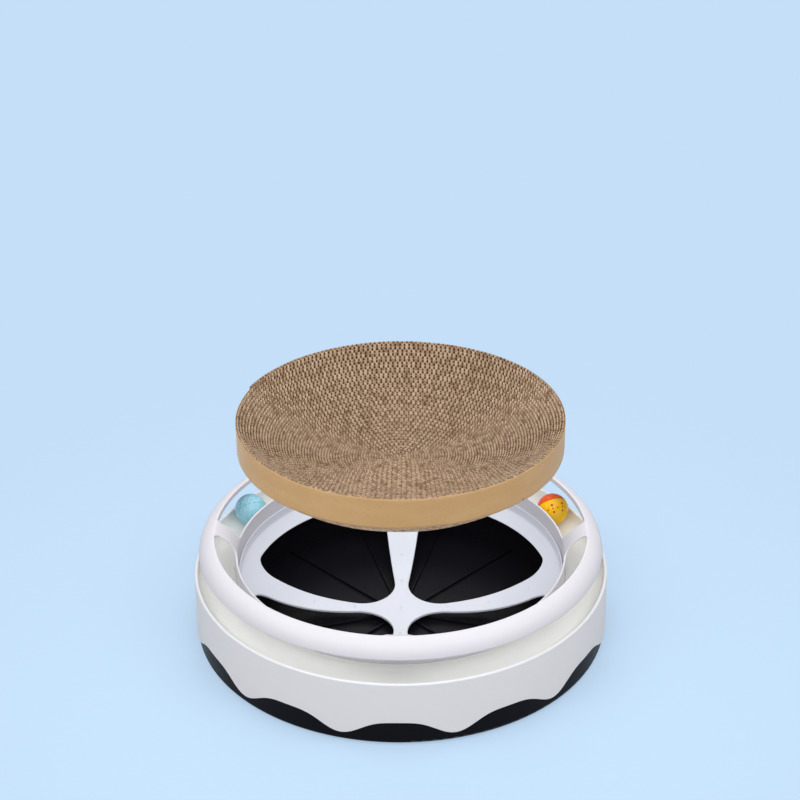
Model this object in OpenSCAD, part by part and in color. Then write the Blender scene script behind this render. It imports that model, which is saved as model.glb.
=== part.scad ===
// Cat scratcher turntable: a round base with a covered ball track round its edge, a dished spider
// tray that spins on a central pivot, and a bowl-shaped core of wound corrugated card that lifts out.
// Millimetres, +Z up, origin on the floor under the centre. The front is -Y.

/* [Card core] */
// Outside diameter of the core, over its kraft wrap
core_d = 387.5; // [340:0.5:400]
// Height of the wound strip, which is the height of the core's side
strip_h = 37.5; // [28:0.5:45]
// Depth of the bowl that the winding is pushed into
dish_depth = 56; // [44:1:60]
// How steeply the bowl rises towards its edge
dish_power = 3.2; // [2.6:0.1:3.6]
// Turns of the wound strip
core_turns = 24; // [12:1:24]
// Clear gap between two turns of the strip
turn_gap = 0.8; // [0.5:0.1:1.2]
// Thickness of the kraft wrap
wrap_t = 1.2; // [0.8:0.1:2]
// Height that the core is held above its seat
core_lift = 174.5; // [120:0.5:220]

/* [Spider tray] */
// Wall of the tray round the core
tray_t = 1.8; // [1.4:0.1:2.6]
// Height of the tray's rim above the edge of its bowl
tray_lip = 12; // [8:0.5:16]
// Thickness of the bowl, measured upright
bowl_t = 3.4; // [2.8:0.1:3.8]
// Half width of a spoke at its waist
spoke_half_w = 8.75; // [6:0.25:11]
// Distance of the waist from the centre
waist_r = 56; // [48:1:64]
// Angle by which each side of a spoke leans out from its axis
spoke_flare = 7.4; // [5:0.2:10]
// Distance of the holes' outer edge inside the tray's wall
hole_inset = 14.25; // [8:0.25:20]
// Corner radius at the outer ends of a hole
hole_corner = 20; // [12:1:24]
// Turn of the spider, with its spokes, from the X axis
spider_turn = -1; // [-5:0.5:5]
// Height of the barbs that grip the card
barb_h = 3; // [2:0.5:4]
// Width of a barb at its foot
barb_w = 3.8; // [2.4:0.2:5]
// Thickness of a barb
barb_t = 1.2; // [0.8:0.1:1.8]
// Distance of the innermost barbs from the centre
barb_r = 57; // [50:1:62]
// Number of barbs along a spoke
barb_count = 3; // [2:1:5]
// Distance of the outermost barbs inside the holes' outer edge
barb_inset = 24; // [16:1:36]

/* [Ball track] */
// Width of the trough between the hood's wall and the outer wall
track_w = 45.5; // [44:0.5:52]
// Height of the trough's floor
track_z = 67.5; // [65:0.5:72]
// Thickness of the trough's floor
trough_t = 2.8; // [2.2:0.1:3.4]
// Fillet on the outer side of the trough
outer_fillet = 15; // [8:0.5:17]
// Fillet on the inner side of the trough
inner_fillet = 8; // [5:0.5:10]
// Height of the collar that stands round the hood's foot
collar_h = 8; // [5:0.5:10]
// Thickness of the collar
collar_t = 2; // [1.4:0.1:2.6]
// Diameter of the balls
ball_d = 40; // [36:0.5:42]
// Wall of a ball
ball_t = 1.8; // [1.4:0.1:2.4]
// Diameter of the bell in each ball
bell_d = 11; // [8:0.5:14]
// Place of the first ball along the track, as a turn from the front
ball_1_turn = -121.3; // [-160:0.1:-90]
// Place of the second ball along the track, as a turn from the front
ball_2_turn = 119.9; // [90:0.1:160]
// Height of the second ball's seam over its centre
ball_2_seam = 6; // [0:0.5:10]
// Lean of the balls' seams
seam_lean = 55; // [0:1:90]
// Direction of that lean, from the X axis
seam_turn = 109; // [0:1:180]

/* [Outer wall] */
// Height of the rolled rim
rim_h = 83.8; // [80:0.2:88]
// Thickness of the wall at the rim
rim_t = 4.4; // [3.6:0.1:6]
// Radius that the wall gains from the rim to its lip
wall_draft = 1.1; // [0.6:0.1:2.4]
// Thickness of the wall under the trough
wall_t = 2.8; // [2.4:0.1:3.6]
// Thickness of the lip that laps over the dark base
lip_t = 1.6; // [1.3:0.1:2]
// Number of scallops along the lip
scallop_count = 12; // [8:4:16]
// Mean height of the scalloped edge
scallop_mean = 24.8; // [22:0.2:26]
// Rise and fall of the scalloped edge
scallop_rise = 9.2; // [5:0.2:10]
// How much the crests are broadened and the dips narrowed
scallop_round = 2.1; // [0:0.1:2.5]
// Turn of the first crest from the front
scallop_turn = -1; // [-5:0.5:5]

/* [Hood] */
// Thickness of the hood
hood_t = 2.8; // [2.2:0.1:3.4]
// Distance of the hood's outer edge inside the rim
hood_inset = 6.6; // [5:0.1:9]
// Height of the arch's centre
arch_z = 108.5; // [104:0.5:112]
// Height of the outer lip over the arch's centre
lip_rise = 3.4; // [2.4:0.2:7]
// Top of the inner ring, where the windows start
ring_z = 101.9; // [98:0.1:104]
// Reach of the windows beyond the arch's centre
window_reach = 2.9; // [0:0.1:8]
// Distance of the arch's inner crease beyond the windows
crease_reach = 1.5; // [1:0.1:3]
// Rise of the posts over a straight line from the crease to the ring
post_rise = 4.5; // [2:0.5:8]
// Depth of the lip that is turned down along the windows
turned_lip = 6.5; // [4:0.5:9]
// Number of posts between the windows
post_count = 4; // [4:1:6]
// Turn of the posts from the X axis
post_turn = -1; // [-5:0.5:5]
// Width of a post
post_w = 28; // [20:1:34]
// Fillet where a post meets the arch and the ring
post_fillet = 11; // [6:0.5:14]
// Number of snap tabs under the hood
tab_count = 8; // [6:1:12]
// Width of a snap tab
tab_w = 14; // [10:0.5:18]
// Length of a snap tab
tab_l = 8; // [7:0.5:10]
// Catch of a snap tab
tab_catch = 1.4; // [0.9:0.1:1.8]

/* [Base] */
// Height that the feet stand out
foot_h = 1.5; // [1.2:0.1:2]
// Diameter of a foot
foot_d = 20; // [14:0.5:24]
// Depth of a foot's recess
foot_seat = 1.4; // [1:0.1:1.6]
// Thickness of the base's floor
floor_t = 2.8; // [2.4:0.1:3.4]
// Thickness of the base's skirt and of its inner wall
skirt_t = 2.8; // [2.2:0.1:3.4]
// Height of the skirt
skirt_h = 37; // [36:0.5:42]
// Radius of the skirt's lower corner
skirt_round = 5; // [3.5:0.5:7]
// Number of ribs on the floor
rib_count = 12; // [8:4:16]
// Height of a rib
rib_h = 3; // [1:0.1:3.4]
// Thickness of a rib
rib_t = 2; // [1.4:0.1:2.6]
// Number of feet, and of screws
foot_count = 8; // [6:1:8]
// Diameter of a screw's shank
screw_d = 3.5; // [3:0.1:4]
// Length of a screw's shank
screw_l = 20; // [16:1:26]

/* [Pivot] */
// Diameter of the hub and of the boss under it
hub_d = 54; // [44:1:56]
// Thickness of the hub
hub_t = 4.3; // [4:0.1:5]
// Diameter of the spindle under the hub
spindle_d = 10; // [8:0.1:12]
// Wall of the bush
bush_t = 2; // [1.5:0.1:2.5]
// Thickness of the bush's flange
flange_t = 1.2; // [0.9:0.1:1.6]
// Diameter of the flange and of the thrust washer
flange_d = 48; // [38:1:52]
// Thickness of the thrust washer
washer_t = 0.75; // [0.5:0.05:1]
// Height of the boss over the floor
boss_h = 4.4; // [4:0.1:5]
// Thickness of the boss over its recess
boss_t = 3.6; // [3:0.1:4]
// Diameter of the retaining washer
keeper_d = 16; // [14:0.5:18]
// Thickness of the retaining washer
keeper_t = 1; // [0.8:0.1:1.2]

/* [Fits] */
// Gap round the core in the tray
core_gap = 0.5; // [0.3:0.1:1]
// Running gap between the tray and the hood
run_gap = 0.5; // [0.3:0.1:1]
// Running clearance of the spindle, on its radius
spindle_gap = 0.05; // [0.02:0.01:0.09]
// Clearance between pieces that are fitted together
fit_gap = 0.1; // [0.05:0.05:0.2]
// Gap under a piece that rests or rolls on another
rest_gap = 0.3; // [0.2:0.05:0.5]
// End play of the tray under its pivot
end_play = 0.3; // [0.2:0.05:0.5]

/* [Hidden] */
$fn = 96;
eps = 0.01;
cut = 1;

// Radii, from the core outwards
core_r = core_d / 2;
tray_in = core_r + core_gap;
tray_out = tray_in + tray_t;
hood_in = tray_out + run_gap;
hood_wall = hood_in + hood_t;
track_in = hood_wall + fit_gap;
collar_out = track_in + collar_t;
track_out = hood_wall + track_w;
track_mid = (hood_wall + track_out) / 2;
rim_r = track_out + rim_t;
lip_r = rim_r + wall_draft;
base_r = lip_r - lip_t - fit_gap;
arch_out = rim_r - hood_inset;
arch_r = (arch_out - hood_in) / 2;
arch_c = (arch_out + hood_in) / 2;
window_r = arch_c + window_reach;
crease_r = window_r + crease_reach;
hole_r = tray_in - hole_inset;
barb_step = (hole_r - barb_inset - barb_r) / (barb_count - 1);
inner_wall_r = collar_out + cut;
screw_r = (inner_wall_r + base_r) / 2;
foot_r = base_r - skirt_round - foot_d / 2 - cut;

// Heights, from the floor upwards
floor_z = foot_h + floor_t;
boss_z = floor_z + boss_h;
recess_z = boss_z - boss_t;
flange_z = boss_z + flange_t;
spindle_play = 0.05;
hub_z = flange_z + washer_t + spindle_play;
dish_z = hub_z + hub_t;
edge_z = dish_z + dish_depth;
tray_rim_z = edge_z + tray_lip;
trough_z = track_z - trough_t;
lip_z = scallop_mean - scallop_rise - scallop_round;
lap_z = skirt_h + foot_h + fit_gap;
spindle_end = recess_z - fit_gap - end_play;
keeper_z = spindle_end - keeper_t;
core_z = edge_z + barb_h + rest_gap + core_lift;
ball_z = track_z + rest_gap + ball_d / 2;

// Screws under the base
head_d = screw_d * 2.2;
head_h = screw_d * 0.6;
head_gap = 0.4;
boss_wall = 4;
screw_boss_d = screw_d + 2 * boss_wall;
screw_boss_z = floor_z + 6;
head_z = screw_boss_z - 5;
post_d = screw_d + 2 * (boss_wall - cut);
pilot_d = screw_d + 2 * fit_gap;
keeper_screw_l = hub_t + boss_h - fit_gap;

// Bowl of the core and of the tray: height over its lowest point at a radius
function bowl(r) = dish_depth * pow(r / core_r, dish_power);

// Edge of the scalloped lip at an angle from a crest
function scallop(a) =
    scallop_mean + scallop_rise * cos(scallop_count * a) - scallop_round * cos(2 * scallop_count * a);

// A ring of equal places
module ring_of(count, start = 0) {
    for (i = [0 : count - 1]) rotate(start + i * 360 / count) children();
}

// A slice of a revolved profile, centred on the X axis
module slice(angle) {
    rotate(-angle / 2) rotate_extrude(angle = angle) children();
}

// A rectangle from corner to corner
module box2d(x0, y0, x1, y1) {
    translate([x0, y0]) square([x1 - x0, y1 - y0]);
}

// Filling of an inside corner at [x, y], with the open side towards [x + sx, y + sy]
module corner2d(x, y, sx, sy, r) {
    difference() {
        box2d(min(x, x + sx * r), min(y, y + sy * r), max(x, x + sx * r), max(y, y + sy * r));
        translate([x + sx * r, y + sy * r]) circle(r);
    }
}

// Base tray

module base_profile() {
    box2d(0, foot_h, base_r - skirt_round, floor_z);
    box2d(base_r - skirt_t, foot_h + skirt_round, base_r, foot_h + skirt_h);
    box2d(inner_wall_r, foot_h, inner_wall_r + skirt_t, trough_z - fit_gap);
    intersection() {
        box2d(base_r - skirt_round, foot_h, base_r, foot_h + skirt_round);
        translate([base_r - skirt_round, foot_h + skirt_round]) difference() {
            circle(skirt_round);
            circle(skirt_round - min(skirt_t, floor_t));
        }
    }
}

module base_tray() {
    color([0.1, 0.1, 0.11]) difference() {
        union() {
            rotate_extrude() base_profile();
            translate([0, 0, foot_h]) cylinder(d = hub_d, h = boss_z - foot_h);
            ring_of(rib_count, 180 / rib_count)
                translate([hub_d / 2 - cut, -rib_t / 2, floor_z - cut])
                    cube([inner_wall_r - hub_d / 2 + 2 * cut, rib_t, rib_h + cut]);
            ring_of(foot_count, 180 / foot_count) translate([screw_r, 0, foot_h])
                cylinder(d = screw_boss_d, h = screw_boss_z - foot_h);
        }
        translate([0, 0, foot_h - cut])
            cylinder(d = spindle_d + 2 * (spindle_gap + bush_t + fit_gap), h = boss_z - foot_h + 2 * cut);
        translate([0, 0, foot_h - cut]) cylinder(d = keeper_d + 2, h = recess_z - foot_h + cut);
        ring_of(foot_count) translate([foot_r, 0, foot_h - cut])
            cylinder(d = foot_d + 2 * fit_gap, h = foot_seat + cut);
        ring_of(foot_count, 180 / foot_count) translate([screw_r, 0, foot_h - cut]) {
            cylinder(d = screw_d + 2 * rest_gap, h = screw_boss_z - foot_h + 2 * cut);
            cylinder(d = head_d + 2 * head_gap, h = head_z - foot_h + cut);
        }
    }
}

module rubber_feet() {
    color([0.16, 0.16, 0.16]) ring_of(foot_count) translate([foot_r, 0, 0])
        cylinder(d = foot_d, h = foot_h + foot_seat);
}

module pan_screw(l) {
    translate([0, 0, -head_h]) cylinder(d = head_d, h = head_h);
    translate([0, 0, -eps]) cylinder(d = screw_d, h = l + eps);
}

module base_screws() {
    color([0.7, 0.7, 0.72]) ring_of(foot_count, 180 / foot_count) translate([screw_r, 0, head_z])
        pan_screw(screw_l);
}

// Track body: scalloped outer wall, rolled rim and trough in one moulding

module wall_profile() {
    polygon([
        [lip_r - lip_t, lip_z + fit_gap], [lip_r, lip_z + fit_gap], [rim_r, rim_h - rim_t / 2],
        [track_out, rim_h - rim_t / 2], [track_out, trough_z], [lip_r - wall_t, trough_z],
        [lip_r - wall_t, lap_z], [lip_r - lip_t, lap_z]
    ]);
    translate([(rim_r + track_out) / 2, rim_h - rim_t / 2]) circle(d = rim_t);
}

module trough_profile() {
    box2d(hood_in, trough_z, track_out + cut, track_z);
    box2d(track_in, trough_z, collar_out, track_z + collar_h);
    corner2d(collar_out, track_z, 1, 1, min(inner_fillet, collar_h));
    corner2d(track_out, track_z, -1, 1, outer_fillet);
}

module scallop_cut() {
    half = 180 / scallop_count;
    steps = 24;
    side = lip_r * sin(half);
    edge = [for (i = [0 : steps]) let (a = half * (2 * i / steps - 1)) [lip_r * sin(a), scallop(a)]];
    translate([0, cut - base_r, 0]) rotate([90, 0, 0]) linear_extrude(lip_r - base_r + 2 * cut)
        polygon(concat(edge, [[side, lip_z - cut], [-side, lip_z - cut]]));
}

module track_body() {
    notch_angle = (tab_w + 2 * rest_gap) / hood_in * 180 / PI;
    color([0.85, 0.86, 0.88]) difference() {
        union() {
            rotate_extrude() {
                wall_profile();
                trough_profile();
            }
            ring_of(foot_count, 180 / foot_count) translate([screw_r, 0, screw_boss_z + fit_gap])
                cylinder(d = post_d, h = track_z - trough_t / 2 - screw_boss_z - fit_gap);
        }
        ring_of(scallop_count, scallop_turn) scallop_cut();
        ring_of(foot_count, 180 / foot_count) translate([screw_r, 0, screw_boss_z - cut])
            cylinder(d = pilot_d, h = head_z + screw_l + cut - screw_boss_z + cut);
        ring_of(tab_count, 180 / tab_count) slice(notch_angle)
            box2d(hood_in - cut, trough_z - cut, hood_wall, track_z + cut);
    }
}

// Hood: an arch over the track, whose flatter inner shoulder is open between posts

lip_lean = asin(lip_rise / (arch_r - hood_t / 2));
crease_z = arch_z + sqrt(arch_r * arch_r - pow(crease_r - arch_c, 2));
shoulder_w = crease_r - hood_in;
shoulder_h = crease_z - ring_z;
shoulder_l = norm([shoulder_w, shoulder_h]);
shoulder_r = shoulder_l * shoulder_l / (8 * post_rise) + post_rise / 2;
shoulder_c = [
    (crease_r + hood_in) / 2 + (shoulder_r - post_rise) * shoulder_h / shoulder_l,
    (crease_z + ring_z) / 2 - (shoulder_r - post_rise) * shoulder_w / shoulder_l
];

module hood_profile() {
    difference() {
        translate([arch_c, arch_z]) difference() {
            circle(arch_r);
            circle(arch_r - hood_t);
        }
        box2d(arch_c - arch_r - cut, arch_z - arch_r - cut, crease_r - 6 * fit_gap, arch_z + arch_r + cut);
        translate([arch_c, arch_z]) rotate(lip_lean) box2d(-2 * arch_r, -2 * arch_r, 2 * arch_r, 0);
    }
    intersection() {
        translate(shoulder_c) difference() {
            circle(shoulder_r);
            circle(shoulder_r - hood_t);
        }
        box2d(hood_in, ring_z + 4 * fit_gap, crease_r - 3 * fit_gap, arch_z + arch_r);
    }
    box2d(hood_in, track_z + fit_gap / 2, hood_wall, ring_z + cut);
    box2d(window_r + 4 * fit_gap, crease_z - turned_lip, window_r + hood_t - 2 * fit_gap, crease_z - hood_t / 2);
}

module hood_lip() {
    translate([arch_c, arch_z]) rotate(lip_lean) translate([arch_r - hood_t / 2, 0])
        circle(d = hood_t - 2 * fit_gap);
}

// What a post keeps of the arch, along the X axis: a bar with a fillet at each end
module post_keep() {
    half = post_w / 2;
    reach = half + post_fillet;
    tangent_x = sqrt(pow(window_r - post_fillet, 2) - reach * reach);
    translate([0, 0, ring_z - cut]) linear_extrude(arch_z + arch_r - ring_z + 3 * cut) {
        box2d(hood_in - reach, -half, window_r + cut, half);
        for (side = [-1, 1]) difference() {
            box2d(tangent_x, min(0, side * reach), window_r + cut, max(0, side * reach));
            translate([tangent_x, side * reach]) circle(post_fillet);
        }
    }
    translate([hood_in - reach, 0, 0]) rotate([90, 0, 90]) linear_extrude(reach + 2 * hood_t)
        for (side = [-1, 1]) difference() {
            box2d(min(0, side * reach), ring_z - cut, max(0, side * reach), ring_z + post_fillet);
            translate([side * reach, ring_z + post_fillet - fit_gap]) circle(post_fillet);
        }
}

module hood_windows() {
    difference() {
        rotate_extrude() box2d(hood_in - post_fillet, ring_z, window_r, arch_z + arch_r + cut);
        ring_of(post_count, post_turn) post_keep();
    }
}

module tab_profile() {
    tab_t = hood_t - 2 * rest_gap;
    tab_in = hood_in + fit_gap;
    polygon([
        [tab_in, track_z + cut], [tab_in + tab_t, track_z + cut], [tab_in + tab_t, trough_z - fit_gap],
        [tab_in + tab_t + tab_catch, trough_z - 2 * fit_gap], [tab_in + tab_t, track_z - tab_l],
        [tab_in, track_z - tab_l]
    ]);
}

module track_hood() {
    tab_angle = tab_w / hood_in * 180 / PI;
    color([0.9, 0.9, 0.92]) difference() {
        union() {
            rotate_extrude() {
                hood_profile();
                hood_lip();
            }
            ring_of(tab_count, 180 / tab_count) slice(tab_angle) tab_profile();
        }
        hood_windows();
    }
}

// Pivot

module pivot_bush() {
    bush_in = spindle_d + 2 * spindle_gap;
    color([0.93, 0.92, 0.86]) difference() {
        union() {
            translate([0, 0, boss_z]) cylinder(d = flange_d, h = flange_t);
            translate([0, 0, recess_z - fit_gap])
                cylinder(d = bush_in + 2 * bush_t, h = boss_z - recess_z + fit_gap + eps);
        }
        translate([0, 0, recess_z - cut]) cylinder(d = bush_in, h = flange_z - recess_z + 2 * cut);
    }
}

module thrust_washer() {
    color([0.75, 0.76, 0.78]) translate([0, 0, flange_z]) difference() {
        cylinder(d = flange_d, h = washer_t);
        translate([0, 0, -cut]) cylinder(d = spindle_d + 4 * rest_gap, h = washer_t + 2 * cut);
    }
}

module retaining_washer() {
    color([0.75, 0.76, 0.78]) translate([0, 0, keeper_z]) difference() {
        cylinder(d = keeper_d, h = keeper_t);
        translate([0, 0, -cut]) cylinder(d = pilot_d, h = keeper_t + 2 * cut);
    }
}

module retaining_screw() {
    color([0.7, 0.7, 0.72]) translate([0, 0, keeper_z]) pan_screw(keeper_screw_l);
}

// Spider tray: a dished shell with four rounded openings and barbed spokes

module tray_profile() {
    steps = 14;
    rs = [for (i = [0 : steps]) tray_in * sin(90 * i / steps)];
    under = bowl(tray_in) - bowl_t;
    polygon(concat(
        [for (r = rs) [r, dish_z + bowl(r)]],
        [[tray_in, tray_rim_z - tray_t / 2], [tray_out, tray_rim_z - tray_t / 2], [tray_out, dish_z + under]],
        [for (i = [steps : -1 : 0]) [rs[i], dish_z + bowl(rs[i]) - bowl_t]]
    ));
    translate([(tray_in + tray_out) / 2, tray_rim_z - tray_t / 2]) circle(d = tray_t, $fn = 32);
}

// One opening, between the spokes along X and Y: two leaning sides, a round inner end that starts at
// the waist and two round outer corners
module tray_opening() {
    apex = (spoke_half_w - waist_r * tan(spoke_flare)) / (1 - tan(spoke_flare));
    tangent = (waist_r - apex) / cos(spoke_flare);
    half = 45 - spoke_flare;
    inner_r = tangent * tan(half);
    inner_c = apex * sqrt(2) + tangent / cos(half);
    corner_c = hole_r - hole_corner;
    offset_side = hole_corner + apex * (cos(spoke_flare) - sin(spoke_flare));
    corner_a = spoke_flare + asin(offset_side / corner_c);
    corner_foot = corner_c * cos(corner_a - spoke_flare) - apex * (cos(spoke_flare) + sin(spoke_flare));
    along = [cos(spoke_flare), sin(spoke_flare)];
    start = apex * [1, 1] + fit_gap * [-along.y, along.x];
    side_point = start + corner_foot * along;
    waist_point = start + tangent * along;
    rotate(45) translate([inner_c, 0]) circle(inner_r);
    for (a = [corner_a, 90 - corner_a]) rotate(a) translate([corner_c, 0]) circle(hole_corner);
    polygon([
        waist_point, side_point, corner_c * [cos(corner_a), sin(corner_a)],
        corner_c * [sin(corner_a), cos(corner_a)],
        [side_point.y, side_point.x], [waist_point.y, waist_point.x]
    ]);
    intersection() {
        circle(hole_r);
        far = 2 * hole_r;
        polygon([
            [0, 0], far * [cos(corner_a), sin(corner_a)], far * [1, 1], far * [sin(corner_a), cos(corner_a)]
        ]);
        difference() {
            circle(hole_r + cut);
            circle(corner_c * cos(45 - corner_a) - cut);
        }
    }
}

module barb(r) {
    foot = dish_z + bowl(max(0, r - barb_t / 2));
    translate([r + barb_t / 2, 0, foot]) rotate([90, 0, -90]) linear_extrude(barb_t)
        polygon([[-barb_w / 2, -cut], [barb_w / 2, -cut], [barb_w / 2, 0], [0, barb_h], [-barb_w / 2, 0]]);
}

module turntable_tray() {
    color([0.88, 0.89, 0.92]) rotate(spider_turn) difference() {
        union() {
            difference() {
                rotate_extrude() tray_profile();
                translate([0, 0, hub_z - cut]) linear_extrude(tray_rim_z) ring_of(4) tray_opening();
            }
            translate([0, 0, hub_z]) cylinder(d = hub_d, h = hub_t - bowl_t + cut);
            translate([0, 0, spindle_end]) cylinder(d = spindle_d, h = hub_z - spindle_end + cut);
            ring_of(4) for (i = [0 : barb_count - 1]) barb(barb_r + i * barb_step);
            barb(0);
        }
        translate([0, 0, spindle_end - cut]) cylinder(d = pilot_d, h = keeper_screw_l + cut);
    }
}

// Card core: one strip wound from the middle, whose last turn thins out under the wrap

wind_in = 2;
wind_out = core_r - wrap_t - fit_gap;
strip_end_t = 1;
turn_steps = 24;
wind_steps = core_turns * turn_steps;
wind_pitch = (wind_out - strip_end_t - wind_in) / core_turns;
strip_t = wind_pitch - turn_gap;

// Inner (side 0) or outer (side 1) radius of the strip at a step, and a corner of its section there
function wind_r(i, side) = min(wind_in + wind_pitch * i / turn_steps + side * strip_t, wind_out);
function wind_corner(i, side, up) =
    let (r = wind_r(i, side), a = 360 * i / turn_steps)
    [r * cos(a), r * sin(a), core_z - dish_depth + bowl(r) + up * strip_h];

// Least gap between a turn and the next, on the corners and half way between them
function middle(i, side) = (wind_corner(i, side, 0) + wind_corner(i + 1, side, 0)) / 2;
function flat_gap(p, q) = norm([p.x - q.x, p.y - q.y]);
turn_gaps = [for (i = [0 : wind_steps - turn_steps - 1]) min(
    flat_gap(wind_corner(i, 1, 0), wind_corner(i + turn_steps, 0, 0)),
    flat_gap(middle(i, 1), middle(i + turn_steps, 0))
)];

module core_winding() {
    echo(least_gap_between_turns = min(turn_gaps));
    corners = [[0, 0], [1, 0], [1, 1], [0, 1]];
    points = [for (i = [0 : wind_steps], c = corners) wind_corner(i, c[0], c[1])];
    sides = [for (i = [0 : wind_steps - 1], k = [0 : 3]) let (a = 4 * i + k, b = 4 * i + (k + 1) % 4)
        each [[a, a + 4, b], [b, a + 4, b + 4]]];
    last = 4 * wind_steps;
    ends = [[0, 1, 2], [0, 2, 3], [last, last + 2, last + 1], [last, last + 3, last + 2]];
    color([0.6, 0.49, 0.38]) polyhedron(points, concat(sides, ends));
}

module core_wrap() {
    color([0.74, 0.59, 0.41]) translate([0, 0, core_z]) difference() {
        cylinder(r = core_r, h = strip_h);
        translate([0, 0, -cut]) cylinder(r = core_r - wrap_t, h = strip_h + 2 * cut);
    }
}

// Balls: two shells each, with a bell inside

module on_track(turn) {
    translate([track_mid * sin(turn), -track_mid * cos(turn), ball_z]) children();
}

// The part of a ball's shell over (side 1) or under (side -1) a leaning seam
module ball_shell(side, seam) {
    rotate([0, seam_lean, seam_turn]) difference() {
        sphere(d = ball_d);
        sphere(d = ball_d - 2 * ball_t);
        translate([-ball_d, -ball_d, side > 0 ? seam - 2 * ball_d : seam]) cube(2 * ball_d);
    }
}

module ball_bell(turn) {
    color([0.8, 0.68, 0.3]) on_track(turn)
        translate([0, 0, rest_gap + ball_t + (bell_d - ball_d) / 2]) sphere(d = bell_d);
}

module ball_1_top() {
    color([0.5, 0.76, 0.87]) on_track(ball_1_turn) ball_shell(1, 0);
}

module ball_1_bottom() {
    color([0.5, 0.76, 0.87]) on_track(ball_1_turn) ball_shell(-1, 0);
}

module ball_1_bell() {
    ball_bell(ball_1_turn);
}

module ball_2_cap() {
    color([0.92, 0.35, 0.12]) on_track(ball_2_turn) ball_shell(1, ball_2_seam);
}

module ball_2_cup() {
    color([0.93, 0.74, 0.08]) on_track(ball_2_turn) ball_shell(-1, ball_2_seam);
}

module ball_2_bell() {
    ball_bell(ball_2_turn);
}

base_tray();
track_body();
track_hood();
rubber_feet();
base_screws();
pivot_bush();
thrust_washer();
turntable_tray();
retaining_washer();
retaining_screw();
core_winding();
core_wrap();
ball_1_top();
ball_1_bottom();
ball_1_bell();
ball_2_cap();
ball_2_cup();
ball_2_bell();
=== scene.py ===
"""Dressed model of a cat scratcher turntable.

A bowl of wound corrugated card is held above a spinning spider tray, inside a scalloped base whose
hooded track carries two balls. Sizes are in millimetres until a mesh is made; +Z is up and -Y is the front.
"""

import logging
import math
from dataclasses import dataclass, field
from enum import Enum
from typing import Any, Callable, Mapping, Sequence, Union

import bpy
import numpy as np
from mathutils import Euler, Matrix, Vector
from mathutils.geometry import delaunay_2d_cdt


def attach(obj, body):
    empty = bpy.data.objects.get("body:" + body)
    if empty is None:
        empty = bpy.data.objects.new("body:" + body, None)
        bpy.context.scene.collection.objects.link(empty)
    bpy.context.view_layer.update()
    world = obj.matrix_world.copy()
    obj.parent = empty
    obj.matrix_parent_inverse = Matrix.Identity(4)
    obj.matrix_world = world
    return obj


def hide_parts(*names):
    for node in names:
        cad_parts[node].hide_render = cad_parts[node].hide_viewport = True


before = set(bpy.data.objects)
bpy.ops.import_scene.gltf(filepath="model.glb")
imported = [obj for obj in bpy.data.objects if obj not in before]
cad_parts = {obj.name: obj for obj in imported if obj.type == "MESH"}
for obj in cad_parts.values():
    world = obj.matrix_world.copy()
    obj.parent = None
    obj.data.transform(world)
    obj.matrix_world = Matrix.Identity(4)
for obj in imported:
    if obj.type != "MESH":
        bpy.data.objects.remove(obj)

LOG = logging.getLogger("turntable")
MM = 0.001
WELD_STEPS = 1000.0
# point marks that set the card's painted shade: depth in a flute and drop below the cut edge
FLUTE_DEPTH = "flute_depth"
EDGE_DROP = "edge_drop"
TAU = 2 * math.pi
Triple = tuple[float, float, float]
Colour = Triple


def srgb(red: int, green: int, blue: int) -> Colour:
    """The linear colour that shaders take, from a screen colour's parts of 0 to 255."""
    parts = [c / 255 for c in (red, green, blue)]
    return tuple(c / 12.92 if c <= 0.04045 else ((c + 0.055) / 1.055) ** 2.4 for c in parts)


# Shaders


class Value:
    """A shader socket that takes part in Python arithmetic."""

    def __init__(self, recipe: "Recipe", socket: bpy.types.NodeSocket) -> None:
        """Keeps the socket and the recipe that it belongs to."""
        self.recipe = recipe
        self.socket = socket

    def maths(self, operation: str, left: Any, right: Any = 0.0) -> "Value":
        """Adds one Math node and gives its result for two operands."""
        return self.recipe.node("ShaderNodeMath", {"operation": operation}, {0: left, 1: right})

    def __add__(self, other: Any) -> "Value":
        """Sum."""
        return self.maths("ADD", self, other)

    def __sub__(self, other: Any) -> "Value":
        """Difference."""
        return self.maths("SUBTRACT", self, other)

    def __rsub__(self, other: Any) -> "Value":
        """Difference, from the right."""
        return self.maths("SUBTRACT", other, self)

    def __mul__(self, other: Any) -> "Value":
        """Product."""
        return self.maths("MULTIPLY", self, other)

    def ramp(self, low: float, high: float) -> "Value":
        """Rises smoothly from 0 at low to 1 at high, or falls where low is the larger.

        Args:
            low: Where it is 0.
            high: Where it is 1.

        Returns:
            A value from 0 to 1.
        """
        ends = (low, high, 0.0, 1.0) if low < high else (high, low, 1.0, 0.0)
        settings = {"interpolation_type": "SMOOTHSTEP", "clamp": True}
        return self.recipe.node("ShaderNodeMapRange", settings, dict(enumerate((self, *ends))))

    def sine(self) -> "Value":
        """Sine, in radians."""
        return self.maths("SINE", self)

    def size(self) -> "Value":
        """Absolute value."""
        return self.maths("ABSOLUTE", self)

    def root(self) -> "Value":
        """Square root."""
        return self.maths("SQRT", self)

    def about(self, level: float, spread: float) -> "Value":
        """Noise about 0.5, turned into a spread about a level."""
        return (self - 0.5) * spread + level


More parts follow.
